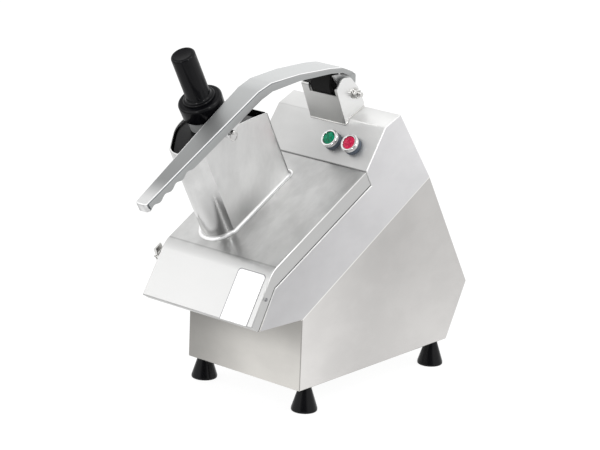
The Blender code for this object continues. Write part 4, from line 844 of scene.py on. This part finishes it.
class CUTTER_OT_hopper(bpy.types.Operator):
    """Build the half-moon hopper with its fillet on the lid, its groove and its rounded rim"""
    bl_idname = "cutter.hopper"
    bl_label = "Hopper"

    def execute(self, context):
        hopper = settings().hopper
        fillet, rim, wall = hopper.fillet, hopper.rim, hopper.wall
        # Rings up the outside, over the rim and down the inside: inset, height, and 1 if that is from the rim
        rounding = [(1.0 - math.sin(angle), 1.0 - math.cos(angle)) for angle in (QUARTER * k / 6 for k in range(7))]
        stations = [(-fillet * out, SEAT + fillet * up, 0.0) for out, up in rounding]
        stations += [(rim * up, -rim * out, 1.0) for out, up in rounding]
        stations += [(wall - rim * out, -rim * up, 1.0) for out, up in rounding]
        stations += [(wall, SEAT, 0.0)]
        bm = bmesh.new()
        rings = []
        for inset, height, on_rim in stations:
            rings.append([bm.verts.new((u, v, height + on_rim * rim_height(v))) for u, v in half_moon(inset)])
        for low, high in zip(rings, rings[1:] + rings[:1]):
            for index in range(len(low)):
                after = (index + 1) % len(low)
                bm.faces.new((low[index], low[after], high[after], high[index]))
        bmesh.ops.recalc_face_normals(bm, faces=bm.faces)
        bmesh.ops.transform(bm, matrix=HEAD, verts=bm.verts)
        remade("hopper", bm, hopper_metal(), 33.0, weighted=False)
        return {"FINISHED"}


class CUTTER_OT_pushers(bpy.types.Operator):
    """Build the half-moon pusher, the feed tube and the round pusher"""
    bl_idname = "cutter.pushers"
    bl_label = "Pushers"

    def execute(self, context):
        dress("food_pusher", black_gloss(), 0.0008, 2, 40.0)
        dress("feed_tube", tube_metal(), 0.0006, 2, 40.0)
        plunger = turned(self.plunger(), HEAD @ Matrix.Translation((TUBE_X, TUBE_S, 0.0)), 72)
        remade("round_pusher", plunger, black_gloss(), weighted=False)
        return {"FINISHED"}

    @staticmethod
    def plunger():
        """Outline (radius, height) of the round pusher: plunger, rounded cap, collar and dished grip."""
        seat = TUBE_TOP + SEAT
        shoulder = seat + CAP_HEIGHT
        step = shoulder + COLLAR_HEIGHT
        foot = GRIP_RADIUS + COLLAR_FILLET
        points = [(0.0, PLUNGER_END), (PLUNGER_RADIUS - 0.002, PLUNGER_END), (PLUNGER_RADIUS, PLUNGER_END + 0.002),
                  (PLUNGER_RADIUS, seat), (CAP_RADIUS - 0.0025, seat), (CAP_RADIUS - 0.0008, seat + 0.002)]
        points += arc((CAP_RADIUS - CAP_ROUND, shoulder - CAP_ROUND), CAP_ROUND, 0.0, QUARTER, 8)
        points += [(foot + COLLAR_ROUND, shoulder)]
        points += arc((foot, step - COLLAR_ROUND), COLLAR_ROUND, 0.0, QUARTER, 6)
        points += arc((foot, step + COLLAR_FILLET), COLLAR_FILLET, 3.0 * QUARTER, 2.0 * QUARTER, 8)
        points += arc((GRIP_RADIUS - GRIP_ROUND, GRIP_TOP - GRIP_ROUND), GRIP_ROUND, 0.0, QUARTER, 8)
        points += [(GRIP_RADIUS - 0.0055, GRIP_TOP - 0.0002), (0.0, GRIP_TOP - GRIP_DISH)]
        return points


class CUTTER_OT_lever(bpy.types.Operator):
    """Build the press lever with its pin and ring"""
    bl_idname = "cutter.lever"
    bl_label = "Lever"

    @staticmethod
    def rounded_edge(edge):
        """Edge between the lever's top and a side or the end of the grip."""
        first, second = (face.normal for face in edge.link_faces)
        top, side = (first, second) if first.z > second.z else (second, first)
        return abs(top.x) < 0.3 and top.z > 0.3 and side.z < 0.35 and (abs(side.x) > 0.35 or side.y < -0.4)

    def execute(self, context):
        bm = soften(read_node("lever"), LEVER_EDGE, 6, 40.0, self.rounded_edge, clamp=False)
        remade("lever", bm, lever_metal(), 50.0)
        dress("lever_pin", bright_steel(), 0.0004, 2, 40.0)
        dress("pin_ring", bright_steel())
        return {"FINISHED"}


class CUTTER_OT_bracket(bpy.types.Operator):
    """Build the lever's bracket with its stop block, bolt, nut, screws and weld beads"""
    bl_idname = "cutter.bracket"
    bl_label = "Bracket"

    @staticmethod
    def bead(name, start, end):
        """Weld bead between two points."""
        run = end - start
        frame = Matrix.Translation(start) @ run.to_track_quat("Z", "Y").to_matrix().to_4x4()
        outline = arc((0.0, run.length - WELD_RADIUS), WELD_RADIUS, QUARTER, 0.0, 4)
        outline += arc((0.0, WELD_RADIUS), WELD_RADIUS, 0.0, -QUARTER, 4)
        finish(name, turned(outline, frame, 12), bright_steel(), "frame", "brushed_steel", weighted=False)

    def execute(self, context):
        panel_top = PANEL @ Vector((0.0, PANEL_LENGTH, 0.0))
        top = tilted(TOP_ANGLE, panel_top.y - DRAWING.y, panel_top.z)
        foot = PANEL_LENGTH - BRACKET_FOOT
        left, right = -BRACKET_HALF_WIDTH, BRACKET_HALF_WIDTH
        beads = [("front_weld", PANEL, (left, foot), (right, foot))]
        for name, x in (("right", right), ("left", left)):
            beads.append((f"{name}_panel_weld", PANEL, (x, foot), (x, PANEL_LENGTH)))
            beads.append((f"{name}_weld", top, (x, 0.0), (x, BRACKET_SEAT_LENGTH)))
        for name, frame, start, end in beads:
            self.bead(name, frame @ Vector((*start, WELD_HEIGHT)), frame @ Vector((*end, WELD_HEIGHT)))
        dress("lever_bracket", bracket_metal(), 0.0009, 3, 30.0)
        dress("lever_stop", black_rubber(), 0.001, 2, 30.0)
        dress("pivot_bolt", bright_steel(), 0.0005, 2, 30.0)
        dress("pivot_nut", bright_steel(), 0.0005, 2, 30.0)
        dress("pivot_washer", bright_steel(), 0.0002, 1, 40.0)
        for side in ("left", "right"):
            dress(f"bracket_screw_{side}", dark_metal(), 0.0005, 2, 40.0)
        return {"FINISHED"}


class CUTTER_OT_buttons(bpy.types.Operator):
    """Build the start and stop buttons with their bezels"""
    bl_idname = "cutter.buttons"
    bl_label = "Buttons"

    def execute(self, context):
        colours = settings().finish
        bezel = known("bezel", painted, (0.80, 0.81, 0.845), 0.30)
        collar = known("collar", moulded, (0.09, 0.11, 0.14), 0.25)
        caps = (("start", BUTTON_X, colours.start, (0.0, 0.13, 0.06), (0.08, 0.52, 0.34)),
                ("stop", BUTTON_X + BUTTON_PITCH, colours.stop, (0.50, 0.01, 0.06), (0.82, 0.20, 0.30)))
        for name, x, colour, deep, pale in caps:
            frame = PANEL @ Matrix.Translation((x, BUTTON_RISE, 0.0))
            plastic = known(f"{name} plastic", mottled, tuple(colour), deep, pale)
            dress(f"{name}_collar", collar, 0.0006, 2, 40.0)
            remade(f"{name}_bezel", turned(self.ring(), frame, 72), bezel, weighted=False)
            remade(f"{name}_button", turned(self.cap(), frame, 72), plastic, weighted=False)
            dress(f"{name}_switch", black_gloss(), 0.0006, 2, 40.0)
        return {"FINISHED"}

    @staticmethod
    def ring():
        """Outline (radius, height) of a bezel, rounded outside and at its bore."""
        points = [(BEZEL_BORE, BEZEL_LOW), (BEZEL_RADIUS - 0.0004, BEZEL_LOW), (BEZEL_RADIUS, BEZEL_LOW + 0.0006)]
        points += arc((BEZEL_RADIUS - BEZEL_ROUND, BEZEL_TOP - BEZEL_ROUND), BEZEL_ROUND, 0.0, QUARTER, 8)
        points += arc((BEZEL_BORE + BORE_ROUND, BEZEL_TOP - BORE_ROUND), BORE_ROUND, QUARTER, math.pi, 5)
        return points

    @staticmethod
    def cap():
        """Outline (radius, height) of a slightly domed cap."""
        return [(0.0, CAP_LOW), (CAP_FACE_RADIUS, CAP_LOW), (CAP_FACE_RADIUS, CAP_FACE - 0.0008),
                (CAP_FACE_RADIUS - 0.0003, CAP_FACE - 0.0003), (CAP_FACE_RADIUS - 0.0010, CAP_FACE),
                (0.0, CAP_FACE + 0.0004)]


class CUTTER_OT_feet(bpy.types.Operator):
    """Build the conical feet and their screws"""
    bl_idname = "cutter.feet"
    bl_label = "Feet"

    def execute(self, context):
        for place in ("front_left", "front_right", "rear_left", "rear_right"):
            dress(f"foot_{place}", black_gloss(), 0.0014, 3, 30.0)
            dress(f"foot_screw_{place}", dark_metal(), 0.0005, 2, 40.0)
        return {"FINISHED"}


class CUTTER_OT_cutting(bpy.types.Operator):
    """Build the bowl, the discharge duct and the cutting disc with its ejector"""
    bl_idname = "cutter.cutting"
    bl_label = "Cutting unit"

    def execute(self, context):
        dress("disc_chamber", machine_metal(), 0.0008, 2, 40.0)
        dress("discharge_chute", bright_steel(), 0.0003, 1, 40.0)
        dress("cutting_disc", bright_steel(), 0.0003, 1, 40.0)
        for index in range(1, 4):
            dress(f"blade_{index}", bright_steel(), 0.0001, 1, 60.0)
        dress("disc_nut", dark_metal(), 0.0005, 2, 40.0)
        dress("disc_hub", machine_metal(), 0.0005, 1, 40.0)
        dress("ejector_plate", black_gloss(), 0.0004, 1, 40.0)
        return {"FINISHED"}


class CUTTER_OT_drive(bpy.types.Operator):
    """Give the motor, belt, pulleys, shafts and bearings their finishes"""
    bl_idname = "cutter.drive"
    bl_label = "Drive"

    def execute(self, context):
        dress("motor", known("motor paint", painted, (0.05, 0.06, 0.07)), 0.0008, 2, 30.0)
        dress("motor_deck", sheet_steel(), 0.0005, 1, 40.0)
        cover(machine_metal(), "bearing_carrier", "driven_pulley", "motor_pulley")
        cover(bright_steel(), "upper_bearing", "lower_bearing")
        cover(dark_metal(), "drive_shaft", "motor_shaft")
        cover(black_rubber(), "drive_belt")
        cover(black_gloss(), "control_box", "lid_switch")
        return {"FINISHED"}


class CUTTER_OT_latch(bpy.types.Operator):
    """Build the draw latch on the left flank"""
    bl_idname = "cutter.latch"
    bl_label = "Latch"

    def execute(self, context):
        for node in ("latch_base", "latch_lever", "latch_bail", "latch_keeper"):
            dress(node, bright_steel(), 0.0002, 1, 40.0)
        return {"FINISHED"}


def area_light(name, place, size, power):
    """Square lamp that looks at the middle of the machine."""
    data = bpy.data.lights.new(name, "AREA")
    data.shape = "RECTANGLE"
    data.size = size
    data.size_y = size
    data.energy = power
    lamp = bpy.data.objects.new(name, data)
    bpy.context.scene.collection.objects.link(lamp)
    lamp.location = place
    lamp.rotation_euler = (MIDDLE - place).to_track_quat("-Z", "Y").to_euler()


class CUTTER_OT_stage(bpy.types.Operator):
    """Build the floor, the studio, the lamps and the camera"""
    bl_idname = "cutter.stage"
    bl_label = "Stage"

    def execute(self, context):
        bpy.context.scene.view_settings.view_transform = "Standard"
        self.floor()
        self.world()
        area_light("key", Vector((-1.65, -2.05, 1.15)), LAMP_SIZE, 1.6)
        area_light("side", Vector((1.6, 0.1, 2.3)), LAMP_SIZE, 6.0)
        for name, towards in EDGE_LAMPS.items():
            area_light(name, MIDDLE + EDGE_LAMP_DISTANCE * towards, EDGE_LAMP_SIZE, EDGE_LAMP_POWER)
        self.camera()
        return {"FINISHED"}

    def floor(self):
        """Flat floor that keeps the machine's shadow."""
        bm = bmesh.new()
        bmesh.ops.create_grid(bm, x_segments=1, y_segments=1, size=FLOOR_REACH)
        mesh = bpy.data.meshes.new("floor")
        bm.to_mesh(mesh)
        bm.free()
        mesh.materials.append(self.floor_material())
        floor = bpy.data.objects.new("floor", mesh)
        bpy.context.scene.collection.objects.link(floor)

    @staticmethod
    def floor_material():
        """Floor that the camera sees as white and that metal mirrors as a glowing pale table, with painted shade
        in a ring round the machine and in front of it.
        """
        surface = Surface("floor")
        surface.set(Base_Color=(0.86, 0.86, 0.86), Roughness=0.8, Specular_IOR_Level=0.0)
        camera = surface.ray("Camera")
        mirrored = surface.ray("Glossy").math("MAXIMUM", surface.ray("Transmission"))
        where = surface.place()
        reach = surface.node("ShaderNodeVectorMath", {"operation": "LENGTH"}, where, output=1)
        # Painted shade in the glow that metal mirrors: a ring round the machine and a stretch in front of it
        front = surface.dot(where, FRONT).step(0.05, 0.45)
        ring_shade = reach.step(0.35, 1.1) * (1.0 - reach.step(1.2, 2.1))
        level = 1.0 - 0.26 * ring_shade * (1.0 - front) - 0.50 * front * reach.step(0.25, 0.75)
        glow = surface.node("ShaderNodeEmission", {}, Strength=1.12 * camera + (1.0 - camera) * level)
        share = (0.8 * camera).math("MAXIMUM", 0.9 * mirrored)
        mix = surface.node("ShaderNodeMixShader", {}, share, Wire(surface, surface.shader.outputs[0]), glow)
        surface.fill(surface.tree.nodes["Material Output"].inputs["Surface"], mix)
        return surface.material

    @staticmethod
    def world():
        """White for the camera; for everything else a studio with a dark strip overhead and behind the camera."""
        world = bpy.data.worlds.new("studio")
        bpy.context.scene.world = world
        world.use_nodes = True
        studio = Shading(world.node_tree)
        towards = studio.node("ShaderNodeTexCoord", {}, output=0)
        key = studio.dot(towards, (-0.60, -0.66, 0.45)).step(0.90, 0.985)
        behind = studio.dot(towards, (0.0, 0.966, -0.259)).step(-0.03, 0.07)
        ahead = studio.dot(towards, (0.0, -0.866, -0.5)).step(-0.12, 0.22)
        left = (-1.0 * studio.dot(towards, RIGHT)).step(0.0, 0.4)
        room = studio.dot(towards, (0.60, -0.79, -0.05)).step(0.72, 0.93)
        strip = (1.0 - behind) * (1.0 - ahead) * left
        level = 1.0 + 0.22 * key + 0.30 * behind * left - 0.10 * strip - 0.86 * room
        camera = studio.ray("Camera")
        background = world.node_tree.nodes["Background"]
        studio.fill(background.inputs["Color"], (1.0, 1.0, 1.0))
        studio.fill(background.inputs["Strength"], camera + (1.0 - camera) * level)

    @staticmethod
    def camera():
        """Camera at the photograph's place."""
        data = bpy.data.cameras.new("camera")
        data.lens = settings().lens.length
        data.sensor_fit = "HORIZONTAL"
        data.sensor_width = SENSOR_WIDTH
        turn = Matrix((CAMERA_RIGHT, CAMERA_UP, CAMERA_BACK)).transposed().to_4x4()
        camera = bpy.data.objects.new("camera", data)
        bpy.context.scene.collection.objects.link(camera)
        camera.matrix_world = Matrix.Translation(CAMERA_PLACE) @ turn
        bpy.context.scene.camera = camera


STEPS = (CUTTER_OT_housing, CUTTER_OT_lid, CUTTER_OT_hopper, CUTTER_OT_pushers, CUTTER_OT_lever, CUTTER_OT_bracket,
         CUTTER_OT_buttons, CUTTER_OT_feet, CUTTER_OT_cutting, CUTTER_OT_drive, CUTTER_OT_latch, CUTTER_OT_stage)


class CUTTER_PT_steps(bpy.types.Panel):
    """Buttons for each group of pieces"""
    bl_idname = "CUTTER_PT_steps"
    bl_label = "Vegetable cutter"
    bl_space_type = "VIEW_3D"
    bl_region_type = "UI"
    bl_category = "Cutter"

    def draw(self, context):
        for step in STEPS:
            self.layout.operator(step.bl_idname)
        for group in (context.scene.cutter.finish, context.scene.cutter.hopper, context.scene.cutter.lens):
            for name in group.__annotations__:
                self.layout.prop(group, name)


CLASSES = (FinishSettings, HopperSettings, LensSettings, CutterSettings, *STEPS, CUTTER_PT_steps)


def register():
    for cls in CLASSES:
        bpy.utils.register_class(cls)
    bpy.types.Scene.cutter = PointerProperty(type=CutterSettings)


def unregister():
    del bpy.types.Scene.cutter
    for cls in reversed(CLASSES):
        bpy.utils.unregister_class(cls)


def main():
    register()
    for step in STEPS:
        group, name = step.bl_idname.split(".")
        getattr(getattr(bpy.ops, group), name)()


if __name__ == "__main__":
    main()
